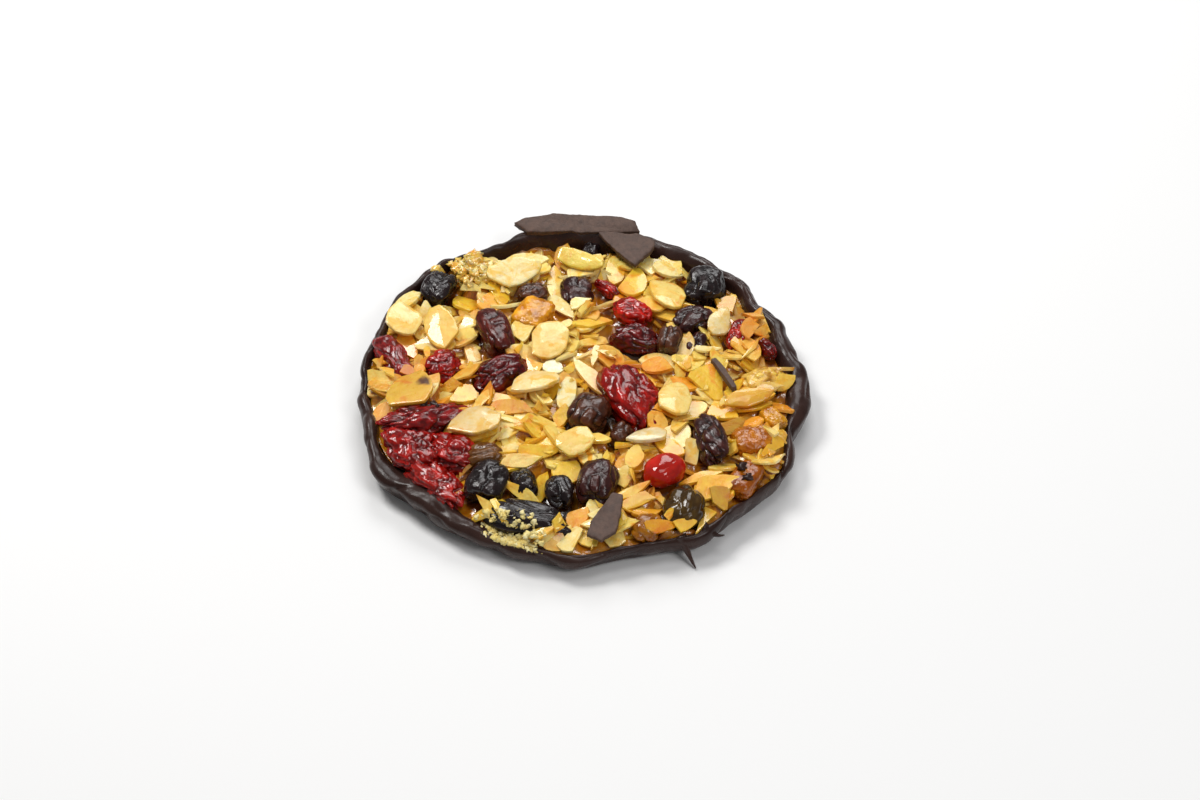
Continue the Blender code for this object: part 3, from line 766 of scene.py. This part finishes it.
def lift_of(middle, axes, half, most):
    """How far a plate has to rise to clear 85 of 100 places of the pile under it, up to a limit."""
    u, v = np.meshgrid(np.linspace(-0.8, 0.8, 15), np.linspace(-0.8, 0.8, 15))
    under = u[..., None] * half[0] * axes[0] + v[..., None] * half[1] * axes[1] + middle - half[2] * axes[2]
    sunk = level[spot(under[..., 0], under[..., 1])] - under[..., 2]
    return float(np.clip(np.percentile(sunk, 85), 0, most))


def reserve(name):
    """Lowers the ceiling inside the ellipse under a plate to just below it, so that chance slices don't rise
    through the plate."""
    middle, axes, half = plate_of(name)
    dx, dy = GX - middle[0], GY - middle[1]
    flat = axes[:2, :2] / (np.linalg.norm(axes[:2, :2], axis=1)[:, None])
    along, across = ((dx * way[0] + dy * way[1]) / size for way, size in zip(flat, half))
    inside = along ** 2 + across ** 2 < 1
    bottom = middle[2] - (axes[2, 0] * dx + axes[2, 1] * dy) / axes[2, 2] - 0.5
    ceiling[inside] = np.minimum(ceiling, bottom)[inside]


for name in NODES:
    if name.startswith(("almond_slice", "chocolate_shard", "chocolate_sliver")):
        reserve(name)

# Slices laid one by one: x, y, length, width, turn in degrees, how pointed, breaks (direction in degrees,
# share of the half size at which it snapped), tone.
LAID = (
    (-13.0, 35.6, 11.0, 8.0, 20, 0.3, ((200, 0.5),), PALE), (-6.4, 31.0, 12.0, 4.2, 92, 0.5, (), CREAM),
    (10.0, 29.2, 10.0, 7.5, 80, 0.2, ((30, 0.6),), GOLDEN), (6.1, 33.8, 8.0, 4.5, 95, 0.3, (), CREAM),
    (13.6, 34.6, 7.0, 6.0, 40, 0.4, ((180, 0.4),), PALE), (17.4, 33.2, 7.0, 5.0, -20, 0.6, (), PALE),
    (34.0, 14.0, 7.5, 5.5, 60, 0.3, ((0, 0.5),), PINK), (20.6, 8.6, 6.5, 4.5, 70, 0.4, (), TAN),
    (-4.9, 22.2, 10.0, 3.6, -50, 0.7, (), PALE), (4.6, 22.2, 12.0, 3.6, 27, 0.6, (), PALE),
    (1.1, 17.0, 10.0, 6.0, 10, 0.2, ((250, 0.4),), GOLDEN), (2.0, 12.0, 10.5, 2.2, 17, 0.3, (), CREAM),
    (2.1, 6.4, 9.0, 3.0, 80, 0.5, (), PALE), (0.8, 0.4, 13.0, 5.4, -65, 0.9, (), PALE),
    (-3.6, -4.6, 10.0, 4.6, 80, 0.5, (), WHITE), (-6.4, 2.2, 5.0, 4.6, 20, 0.1, (), WHITE),
    (-13.9, -9.0, 12.0, 5.0, -8, 0.4, (), AMBER), (-24.2, -5.0, 9.0, 6.0, 15, 0.3, (), GOLDEN),
    (-4.8, -10.4, 6.0, 5.0, 60, 0.1, ((90, 0.4),), GOLDEN), (-8.6, -12.6, 6.4, 5.0, -20, 0.2, (), CREAM),
    (-5.6, -16.2, 7.4, 6.0, 30, 0.5, ((180, 0.3),), CREAM), (19.4, -2.2, 9.0, 7.0, 35, 0.2, (), ORANGE),
    (25.0, -0.6, 10.0, 9.0, 100, 0.1, ((300, 0.5),), GOLDEN), (27.4, -8.8, 9.5, 6.0, -35, 0.5, (), GOLDEN),
    (40.0, -7.6, 8.4, 6.4, 80, 0.2, ((0, 0.3),), ORANGE), (29.0, -12.6, 6.6, 4.6, 10, 0.2, (), OLIVE),
    (21.0, -21.0, 11.0, 4.4, 82, 0.5, ((0, 0.6),), PALE), (28.4, -24.6, 8.6, 4.6, 12, 0.8, (), CREAM),
    (22.6, -27.6, 9.6, 3.6, 8, 0.7, (), GOLDEN), (25.6, -30.4, 11.0, 6.6, 18, 0.8, (), GOLDEN),
    (9.0, -31.8, 9.0, 3.0, 32, 0.7, (), CREAM), (11.0, -33.8, 10.0, 3.2, 26, 0.7, (), GOLDEN),
    (12.6, -36.0, 8.4, 3.0, 18, 0.6, (), AMBER), (-10.2, -21.4, 12.0, 5.0, 4, 0.4, ((90, 0.5),), GOLDEN),
    (-12.4, -23.6, 9.6, 3.4, 0, 0.3, (), CREAM), (-3.6, -25.2, 8.0, 6.6, 100, 0.3, ((0, 0.4),), GOLDEN),
    (-15.4, -17.2, 8.0, 4.6, 110, 0.8, ((180, 0.4),), CREAM), (-8.6, -29.2, 9.4, 3.4, 78, 0.3, (), GOLDEN),
    (-14.4, -34.4, 8.0, 3.0, -5, 0.4, (), GOLDEN), (-1.2, -37.6, 6.2, 5.0, 70, 0.1, ((20, 0.4),), ORANGE),
    (-2.6, -43.0, 6.4, 5.6, 40, 0.1, ((100, 0.4),), PALE), (27.8, -35.0, 7.2, 5.6, 5, 0.1, (), OLIVE),
    (20.2, -42.6, 6.4, 3.0, 20, 0.4, (), GOLDEN), (15.2, -43.6, 8.4, 3.4, 12, 0.3, (), AMBER),
    (-40.4, -8.4, 7.0, 6.4, 100, 0.2, ((180, 0.4),), ORANGE), (-38.6, 25.0, 8.0, 4.6, 50, 0.3, (), PALE),
    (-25.0, 24.4, 9.0, 6.6, 80, 0.3, ((0, 0.5),), GOLDEN), (-20.2, 23.4, 8.0, 5.4, 110, 0.3, (), ORANGE),
    (-26.6, 34.2, 5.6, 4.5, 60, 0.2, (), OLIVE), (-39.8, 19.6, 6.6, 5.4, 30, 0.2, (), WHITE),
    (-33.0, 19.8, 8.0, 4.0, 85, 0.4, (), PALE), (-36.6, 11.6, 10.0, 5.0, 100, 0.3, (), ORANGE),
    (-23.6, 8.4, 12.6, 5.2, 105, 0.5, (), PINK), (-26.8, 18.4, 5.0, 4.2, 30, 0.1, (), TAN),
    (31.6, 19.8, 4.4, 3.6, 30, 0.2, (), TAN), (33.4, -13.8, 5.4, 4.6, 60, 0.2, (), ORANGE),
    (14.0, -13.4, 7.0, 5.0, 140, 0.4, ((0, 0.4),), CREAM),
    (21.6, -7.2, 8.4, 6.0, 20, 0.2, ((180, 0.3),), CREAM),
    (9.2, 4.2, 8.0, 5.0, 15, 0.2, ((270, 0.3),), ORANGE), (15.0, 3.0, 8.6, 5.0, -15, 0.4, (), ORANGE),
    (-29.4, -7.6, 6.0, 4.4, 30, 0.4, (), ORANGE), (9.4, 35.2, 6.0, 4.6, 10, 0.3, (), CREAM),
)

# From below: small and larger chance slices fill the heap, the listed slices go on, and more chance slices
# of falling size fill what is left between them.
scatter(600, 0.6, lower=2.0)
scatter(900, 0.9, lower=1.5)
for number, (x, y, length, width, turn, pointed, breaks, tone) in enumerate(LAID):
    snapped = [(RNG.uniform(0, 2 * np.pi), RNG.uniform(0.25, 0.7)) for _ in range(RNG.integers(1, 4))]
    shape = slice_outline(length, width, pointed, [(math.radians(d), share) for d, share in breaks] + snapped)
    shape -= shape.mean(0)
    curve = np.array([0.006, 0.012, 0.006]) * RNG.normal(0.3, 1, 3)
    keep(lay_slice(x, y, math.radians(turn), shape, 0.7, curve, 0.6, 0.1, number, 0.14, True), tone)
scatter(1900, 1.08, lower=0.2)
scatter(1500, 0.90)
scatter(900, 0.68)
scatter(200, 0.45)


def stain_and_painted_shade(points, tone, strength=1.0):
    """A slice's colour at its points: redder by the red fruit, more orange low in the pile where the caramel
    pools and darker there as painted shade, and more golden in drifts across the heap and towards its right
    front."""
    at = spot(points[:, 0], points[:, 1])
    red = strength * red_near[at][:, None]
    drift = smooth_step(field(points * [0.085, 0.085, 0.05] + 3.1, 21), -0.1, 0.7)[:, None]
    # Painted shade deep in the pile: darker the further a point lies below the level round it, and more
    # orange where the caramel pools.
    low = smooth_step(level[at] - points[:, 2], 0.5, 2.6)[:, None]
    right = strength * smooth_step(points[:, 0] - 0.4 * points[:, 1], 12, 40)[:, None]
    colour = np.asarray(tone)[None, :] * (1 + 0.06 * field(points * 0.6, 4)[:, None])
    colour = colour * (1 - 0.34 * red * np.array([0.05, 0.90, 1.8]))
    colour = colour * (1 - (0.30 * drift + 0.36 * right) * np.array([0.04, 0.30, 0.88]))
    return colour * (1 - low * np.array([0.40, 0.66, 0.90]))


slices = np.array(slices)
tints = np.array([stain_and_painted_shade(form, tone) for form, tone in zip(slices, slice_tints)])
faces = closed_faces(len(SLICE_RINGS), SLICE_AROUND)
put_many("almond_slices", slices, faces, ALMOND, tints, crisp=26)


LARGE_SLICE_RINGS = ((0.3, 1), (0.6, 1), (0.85, 1), (0.965, 1), (0.99, 0.88), (1.0, 0.5), (1.0, -0.5),
                     (0.99, -0.88), (0.965, -1), (0.6, -1))  # reach, share of half thickness


def large_slice(name, number):
    """A large loose slice in its node's place: rings of the node's own outline, made a little uneven and
    broken straight at three turns, drawn in by each ring's reach over a thin crisp edge, on a sheet that is
    gently domed as 1 - r^2 and wavy."""
    middle, axes, half = plate_of(name)
    around, half_thick = 96, 0.38
    line = hull_line(((node_points(name) - middle) @ axes.T)[:, :2], around)
    uneven = field(np.column_stack([line * 0.45, np.full(around, 0.3 * number)]), number)
    line = line * (1 + 0.06 * uneven)[:, None]
    breaks = ((2.4 * number + 0.7, 0.80), (3.9 * number + 2.6, 0.86), (5.3 * number + 4.1, 0.90))
    for direction, share in breaks:
        normal = np.array([math.cos(direction), math.sin(direction)])
        beyond = line @ normal - share * (line @ normal).max()
        line = line - 0.92 * np.clip(beyond, 0, None)[:, None] * normal
    middle = middle + [0, 0, lift_of(middle, axes, half, 0.8)]
    reach, side = np.array(LARGE_SLICE_RINGS).T
    x, y = reach[:, None] * line[:, 0], reach[:, None] * line[:, 1]
    wave = field(np.stack([x * 0.16, y * 0.16, 0 * x + number * 1.3], -1), 2)
    bend = 0.35 * (1 - (reach ** 2))[:, None] + 0.35 * wave
    z = side[:, None] * half_thick + bend
    rings = np.stack([x, y, z], -1) @ axes + middle
    points = with_poles(rings)
    tint = stain_and_painted_shade(points, CAD_TONES[name], 0.25)
    if number == 1:  # the golden slice by the left rim carries a dark smear of chocolate
        across, back = points[:, 0] - middle[0] - 3.0, points[:, 1] - middle[1] - 1.9
        smear = np.exp(-((across + 0.3 * back) ** 2 / 1.9 + back ** 2 / 3.8) + 0.3 * field(points * 1.1, 5))
        tint = tint * (1 - smooth_step(smear, 0.35, 0.75)[:, None] * np.array([0.88, 0.93, 0.80]))
    put_skin(name + "_glazed", rings, ALMOND, tint, (name,))


for number, name in enumerate(CAD_SLICES):
    large_slice(name, number)


# ---------------------------------------------------------------- caramel between the slices

def blurred(values, width):
    """A grid blurred by a bell curve of a width in millimetres."""
    steps = int(3 * width / CELL)
    bell = np.exp(-((np.arange(-steps, steps + 1) * CELL / width) ** 2) / 2)
    bell /= bell.sum()

    def blurred_line(line):
        return np.convolve(np.pad(line, steps, mode="edge"), bell, mode="valid")

    for axis in (0, 1):
        values = np.apply_along_axis(blurred_line, axis, values)
    return values


def sample(values, x, y):
    """A grid read between its spots, straight across each cell."""
    u, v = (x + HALF) / CELL, (y + HALF) / CELL
    i, j = np.clip(u.astype(int), 0, len(SPOTS) - 2), np.clip(v.astype(int), 0, len(SPOTS) - 2)
    s, t = u - i, v - j
    return ((values[i, j] * (1 - s) + values[i + 1, j] * s) * (1 - t)
            + (values[i, j + 1] * (1 - s) + values[i + 1, j + 1] * s) * t)


def caramel_bed():
    """The set caramel: a square sheet drawn to the round of the dish by turning each point of a square ring
    onto a circle, at the blurred level of the pile less a little, so that it shows in the hollows. Its rim is
    carried down to a flat underside. Its tint is painted browner and darker the deeper it lies below the
    pile, and darker still round the fruit in the deep hollows: painted shade in both."""
    size, sink, lowest, underside = 225, 1.20, 3.0, 2.75
    a, b = np.meshgrid(np.linspace(-1, 1, size), np.linspace(-1, 1, size), indexing="ij")
    swap = np.abs(a) < np.abs(b)
    big, small = np.where(swap, b, a), np.where(swap, a, b)
    turn = np.pi / 4 * np.divide(small, big, out=np.zeros_like(small), where=big != 0)
    east, north = big * np.cos(turn), big * np.sin(turn)
    x, y = np.where(swap, north, east), np.where(swap, east, north)
    reach = round_dish(EDGE - WIDTH + 0.25, x, y)
    x, y = x * reach, y * reach
    pile = np.minimum(level, dome(GX, GY) + 1.6)
    low = np.where(fruit_cover > 0.25, dome(GX, GY) - 1.2, pile)
    z = sample(blurred(low, 0.6), x, y) - sink + 0.35 * field(np.stack([x, y, 0 * x], -1) * 0.45, 6)
    z = np.maximum(z, lowest)
    points = np.stack([x, y, z], -1).reshape(-1, 3)
    index = np.arange(size * size).reshape(size, size)
    top = np.stack([index[:-1, :-1], index[1:, :-1], index[1:, 1:], index[:-1, 1:]], -1).reshape(-1, 4)
    loop = np.concatenate([index[:-1, 0], index[-1, :-1], index[:0:-1, -1], index[0, :0:-1]])
    base = points[loop] * [0.985, 0.985, 0] + [0, 0, underside]
    here = len(points) + np.arange(len(loop))
    beside = np.roll(here, -1)
    points = np.concatenate([points, base, [[0, 0, underside]]])
    wall = np.stack([np.roll(loop, -1), loop, here, beside], -1)
    under = np.stack([np.full(len(loop), len(points) - 1), beside, here], -1)
    # Painted shade: browner and darker the deeper the caramel lies below the pile round it.
    deep = smooth_step(sample(level, points[:, 0], points[:, 1]) - points[:, 2], 0.6, 3.0)[:, None]
    tone = np.array([0.72, 0.31, 0.018]) * (1 - deep) + np.array([0.22, 0.060, 0.005]) * deep
    # Painted shade round the fruit in the deep hollows.
    tone = tone * (1 - 0.85 * sample(painted_shade_hollow_near, points[:, 0], points[:, 1])[:, None])
    faces = facing_out(points, [top, wall, under])
    put("caramel_bed", points, faces, CARAMEL, tone, ("almond_heap",))


caramel_bed()


# ---------------------------------------------------------------- chocolate dish

def drawn_through(stations, steps):
    """Points on the Catmull-Rom curve through stations [n, ...], steps to each span: the cubic that passes
    each station in the direction from the one before it to the one after."""
    before = np.concatenate([stations[:1], stations[:-1]])
    after = np.concatenate([stations[1:], stations[-1:]])
    later = np.concatenate([stations[2:], stations[-1:], stations[-1:]])
    rows = []
    for k in range(len(stations) - 1):
        for t in np.arange(steps) / steps:
            rows.append(0.5 * (2 * stations[k] + (after[k] - before[k]) * t
                               + (2 * before[k] - 5 * stations[k] + 4 * after[k] - later[k]) * t ** 2
                               + (3 * stations[k] - before[k] - 3 * after[k] + later[k]) * t ** 3))
    return np.array(rows + [stations[-1]])


def chocolate_dish():
    """The dish: at each angle a section from under the middle, up the outer wall, over the rim and down
    to the floor, carried round an edge with lobes of two sizes. It is then pushed along its normal by slow
    swells, by runs down the outer wall, and by folds on the rim at the back and at the left."""
    east, north = np.cos(TURNS), np.sin(TURNS)
    around = np.stack([east, north, 0 * TURNS], -1)
    e, w, h = EDGE + 0.50 * field(around * 4.6, 15) + 0.35 * field(around * 9.0, 16), WIDTH, RIM
    inner, flat = e - w, 0 * h
    underside = ((0.02 * e, flat), (0.5 * e, flat), (e - 6.0, flat), (e - 3.6, flat))
    outer_wall = ((e - 2.5, 0.25 + flat), (e - 1.5, 0.20 * h), (e - 0.75, 0.42 * h), (e - 0.2, 0.64 * h))
    crest = ((e - 0.05, 0.82 * h), (e - 0.22 * w, 0.96 * h), (e - 0.48 * w, h), (e - 0.75 * w, 0.95 * h))
    inner_wall = ((e - 0.94 * w, 0.82 * h), (inner - 0.1, 0.62 * h), (inner - 0.5, 0.42 * h))
    top_of_floor = ((inner - 1.2, 2.3 + flat), (inner - 4.0, 2.2 + flat), (0.02 * e, 2.2 + flat))
    stations = underside + outer_wall + crest + inner_wall + top_of_floor
    section = drawn_through(np.array([np.stack(station) for station in stations]), 5)
    reach, rise = section[:, 0], np.maximum(section[:, 1], 0)
    grid = np.stack([reach * east, reach * north, rise], -1)
    along = np.gradient(grid, axis=0)
    across = np.roll(grid, -1, axis=1) - np.roll(grid, 1, axis=1)
    normal = np.cross(across, along)
    normal /= np.linalg.norm(normal, axis=-1, keepdims=True) + 1e-9

    def wrapped(size, height):
        """Places on a cylinder, where a field closes on itself round the dish."""
        return np.stack([0 * reach + east * size, 0 * reach + north * size, height], -1)

    walk = np.cumsum(np.linalg.norm(np.diff(grid, axis=0, prepend=grid[:1]), axis=-1), axis=0)
    ripple = wrapped(5.2, walk * 0.20)
    swell = 0.50 * field(grid * 0.13, 8) + 0.34 * field(grid * 0.30, 9) + 0.05 * field(grid * 0.8, 10)
    runs = 0.85 * (folds(ripple + 0.35 * field(ripple * 1.1, 13)[..., None], 11) - 0.42)
    turned = np.degrees(TURNS)
    at_back = smooth_step(turned, 8, 25) * smooth_step(turned, 88, 66)
    at_left = 0.5 * smooth_step(turned, 196, 208) * smooth_step(turned, 250, 232)
    fold = (at_back + at_left) * 0.55 * (folds(wrapped(5.5, (reach - e) * 0.55), 12) - 0.45)
    high = smooth_step(rise, 0.3, 2.2)
    outside = smooth_step(reach, inner - 2.0, inner - 0.5)
    push = swell + runs * smooth_step(reach, e - 2.4, e - 0.6) + fold * smooth_step(rise, 0.5 * h, 0.85 * h)
    grid = grid + normal * (push * high * outside)[..., None]
    grid[..., 2] = np.maximum(grid[..., 2], 0)
    put_skin("chocolate_dish_coat", grid, CHOCOLATE, replaces=("chocolate_dish",))


chocolate_dish()


# ---------------------------------------------------------------- broken chocolate

SNAPPED_EDGE = ((0.35, 1), (0.7, 1), (0.9, 1), (0.97, 0.96), (1.0, 0.7), (0.985, 0.2), (1.0, -0.3),
                (0.985, -0.8), (0.93, -1), (0.6, -1))  # reach, share of half thickness


def broken_plate(name, seed, bow, grown, drop=0.0, lean=0.0):
    """A shard in its node's place: the node's own outline made ragged by noise; rings step in over a
    snapped edge to a bowed, dented face. It may be grown, dropped and leaned on its long axis; one that isn't
    dropped is lifted onto the pile."""
    middle, axes, half = plate_of(name)
    around = 180
    line = hull_line(((node_points(name) - middle) @ axes.T)[:, :2], around) * grown[:2]
    flat = np.column_stack([line, np.zeros(around)])
    ragged = 0.55 * field(flat * 0.30, seed) + 0.20 * field(flat * 0.9, seed + 1)
    ragged = ragged + 0.08 * field(flat * 3.0, seed + 3)
    line = line * (1 + ragged / (np.hypot(*line.T) + 0.8))[:, None]
    thick = half[2] * grown[2]
    rings = []
    for reach, side in SNAPPED_EDGE:
        flat = line * reach
        dent = 0.22 * field(np.column_stack([flat * 0.35, np.full(around, side)]), seed + 2)
        rise = side * thick + dent + bow * (flat[:, 0] / half[0]) ** 2
        rings.append(np.column_stack([flat, rise]))
    lean = np.array(Matrix.Rotation(lean, 3, Vector(axes[0])))
    lift = lift_of(middle, axes, half, 0.9) if drop == 0 else -drop
    rings = np.array(rings) @ axes @ lean.T + middle + [0, 0, lift]
    put_skin(name + "_piece", rings, SHARD, replaces=(name,))


THINNER = np.array([1.0, 1.0, 0.9])
broken_plate("chocolate_shard_back_long", 30, -0.35, np.array([1.0, 1.12, 1.25]), 0.35, 0.06)
broken_plate("chocolate_shard_back_small", 34, 0.15, THINNER)
broken_plate("chocolate_shard_front", 38, 0.2, THINNER)
broken_plate("chocolate_sliver_right", 42, -0.2, THINNER)


def spike(path, widths, around=14):
    """Rings of a thorn: circles of the given half widths, square to a path, closed to a point at each end."""
    path = drawn_through(np.array(path, float), 6)
    widths = np.interp(np.linspace(0, 1, len(path)), np.linspace(0, 1, len(widths)), widths)
    ahead = np.gradient(path, axis=0)
    ahead /= np.linalg.norm(ahead, axis=1, keepdims=True)
    side = np.cross(ahead, [0, 0, 1.0])
    side /= np.linalg.norm(side, axis=1, keepdims=True) + 1e-9
    up = np.cross(side, ahead)
    turn = (np.arange(around) / around * 2 * np.pi)[None, :, None]
    return path[:, None] + widths[:, None, None] * (np.cos(turn) * side[:, None] + np.sin(turn) * up[:, None])


def thorns():
    """Two thorns of chocolate drawn out of the rim at the front: one runs down the wall nearly to the floor,
    the other stands a little way off the rim. Each goes through four places, with a half width at each."""
    def at(degrees, out, rise):
        """A point a distance outside the rim."""
        east, north = math.cos(math.radians(degrees)), math.sin(math.radians(degrees))
        reach = float(round_dish(EDGE, east, north)) + out
        return reach * east, reach * north, rise

    drawn = (
        ((at(294, -1.6, 5.4), at(294.6, -0.3, 3.6), at(295, 1.0, 1.9), at(295.4, 2.9, 0.3)),
         (1.3, 0.8, 0.45, 0.12)),
        ((at(300, -1.8, 5.6), at(301.4, -0.4, 4.9), at(302.6, 0.9, 4.4), at(303.8, 1.9, 4.6)),
         (1.5, 0.8, 0.35, 0.10)),
    )
    for number, (path, widths) in enumerate(drawn, start=1):
        put_skin("chocolate_thorn_%d" % number, spike(path, widths), CHOCOLATE)


thorns()


# ---------------------------------------------------------------- crumbs, nibs and flecks

def lumps(name, places, sizes, material, tones, rough=0.25, sink=0.3, flat=0.8):
    """Small lumps resting on what is under them: balls of a few dozen faces, each with its own turn and
    its skin pushed in and out by the field."""
    rows, around = 5, 9
    out = skin_grid(rows, around)
    pieces, colours = [], []
    for number, ((x, y), size, tone) in enumerate(zip(places, sizes, tones)):
        skin = out * (1 + rough * field(out * 1.6 + number * 2.3, number % 9)[..., None]) * size / 2
        turn = RNG.normal(size=3)
        spun = skin @ np.array(Matrix.Rotation(float(np.linalg.norm(turn)) * 2, 3, Vector(turn)))
        spun = spun * [1, 1, flat]
        base = float(level[spot(x, y)])
        form = with_poles(spun + [x, y, base + size * (0.5 * flat - sink)])
        pieces.append(form)
        colours.append(np.tile(tone, (len(form), 1)))
    put_many(name, np.array(pieces), closed_faces(rows, around), material, np.array(colours))


def any_of(tones, count):
    """Tones picked by chance from a few."""
    return np.array(tones)[RNG.integers(0, len(tones), count)]


def drift(middle, half, count):
    """Chance places, thickest in the middle of an ellipse, drawn in where they would miss the dish."""
    places = RNG.normal(0, 0.5, (count, 2)) * half + middle
    reach = np.hypot(*places.T)
    most = round_dish(EDGE, *places.T) - 0.9
    return places * np.minimum(1, most / reach)[:, None]


# Crumbs lie in drifts round the long raisin at the front, most of them very small.
front = LAYS["raisin_long_front"][0][:2]
places = np.concatenate([
    drift(front + [-3.4, -5.0], (5.0, 2.4), 640), drift(front + [-8.2, -1.4], (2.2, 2.6), 220),
    drift(front + [-4.6, -1.6], (3.0, 1.4), 90), drift(front + [0.4, -5.6], (2.0, 1.0), 110),
    drift(front + [-6.0, -6.0], (7.0, 1.8), 40),
])
sizes = 0.24 + 0.85 * RNG.random(len(places)) ** 3.0
tones = any_of([(0.94, 0.80, 0.34), (0.88, 0.66, 0.16), (0.97, 0.90, 0.56), (0.80, 0.58, 0.18)], len(places))
lumps("pale_crumbs", places, sizes, CRUMB, tones, rough=1.15, sink=0.15)

places = drift((-22.8, 33.0), (5.0, 3.4), 70)
tones = any_of([(0.96, 0.76, 0.30), (0.92, 0.64, 0.14), (0.90, 0.52, 0.07)], len(places))
sizes = RNG.uniform(1.2, 2.8, len(places))
lumps("caramel_nibs", places, sizes, CARAMEL, tones, rough=1.0, sink=0.30, flat=0.65)

# Flecks of chocolate lie on the torn berries at the left and on one block of peel.
on_berries = [(-32.2, -9.6), (-30.0, -9.9), (-31.2, -10.6), (-29.3, -9.4)]
on_peel = LAYS["peel_front_right"][0][:2] + [[-0.8, 1.2], [0.3, -1.6], [0.6, -0.9]]
places = np.array([*on_berries, *on_peel])
sizes = np.array([2.1, 1.9, 1.1, 0.8, 2.2, 1.8, 1.2])
tones = np.ones((len(places), 3))
lumps("dark_flecks", places, sizes, CHOCOLATE, tones, rough=0.7, sink=0.1, flat=0.6)


# ---------------------------------------------------------------- stage

def light(name, place, aim, size, power, tone=(1, 1, 1)):
    """A soft square lamp at a place in millimetres that faces a point."""
    lamp = bpy.data.lights.new(name, "AREA")
    lamp.shape, lamp.size, lamp.energy, lamp.color = "SQUARE", size, power, tone
    held = bpy.data.objects.new(name, lamp)
    held.location = Vector(place) * MM
    held.rotation_euler = (Vector(aim) - Vector(place)).to_track_quat("-Z", "Y").to_euler()
    bpy.context.scene.collection.objects.link(held)


# A pale paper floor, just under the cookie so that the two don't share a face.
floor_mesh = bpy.data.meshes.new("floor")
floor_mesh.from_pydata([(-3, -3, 0), (3, -3, 0), (3, 3, 0), (-3, 3, 0)], [], [(0, 1, 2, 3)])
floor = bpy.data.objects.new("floor", floor_mesh)
bpy.context.scene.collection.objects.link(floor)
paper = bpy.data.materials.new("pale_paper")
paper.use_nodes = True
paper.node_tree.nodes["Principled BSDF"].inputs["Base Color"].default_value = (0.90, 0.90, 0.90, 1)
paper.node_tree.nodes["Principled BSDF"].inputs["Roughness"].default_value = 0.9
floor_mesh.materials.append(paper)
floor.location.z = -0.0001

world = bpy.data.worlds.new("studio")
bpy.context.scene.world = world
world.use_nodes = True
world.node_tree.nodes["Background"].inputs["Color"].default_value = (1, 1, 1, 1)
world.node_tree.nodes["Background"].inputs["Strength"].default_value = 0.20
light("key_window", (-300, 230, 560), (0, 0, 0), 0.20, 2.3, (1.0, 0.99, 0.97))
light("back_soft", (60, 470, 470), (0, 0, 0), 0.30, 1.5)
light("front_fill", (320, -360, 520), (0, 0, 0), 0.22, 1.1)
light("top_soft", (40, 0, 760), (0, 0, 0), 0.30, 0.9)
bpy.context.scene.view_settings.view_transform = "Standard"

AIM = Vector((3.0, -4.3, 6.0)) * MM
TILT = math.radians(44.0)
DISTANCE = 0.573  # metres
lens = bpy.data.cameras.new("camera")
lens.lens, lens.sensor_width, lens.clip_start = 85.0, 36.0, 0.01
camera = bpy.data.objects.new("camera", lens)
camera.location = AIM + Vector((0, -math.cos(TILT), math.sin(TILT))) * DISTANCE
camera.rotation_euler = (math.radians(90) - TILT, 0, 0)
bpy.context.scene.collection.objects.link(camera)
bpy.context.scene.camera = camera
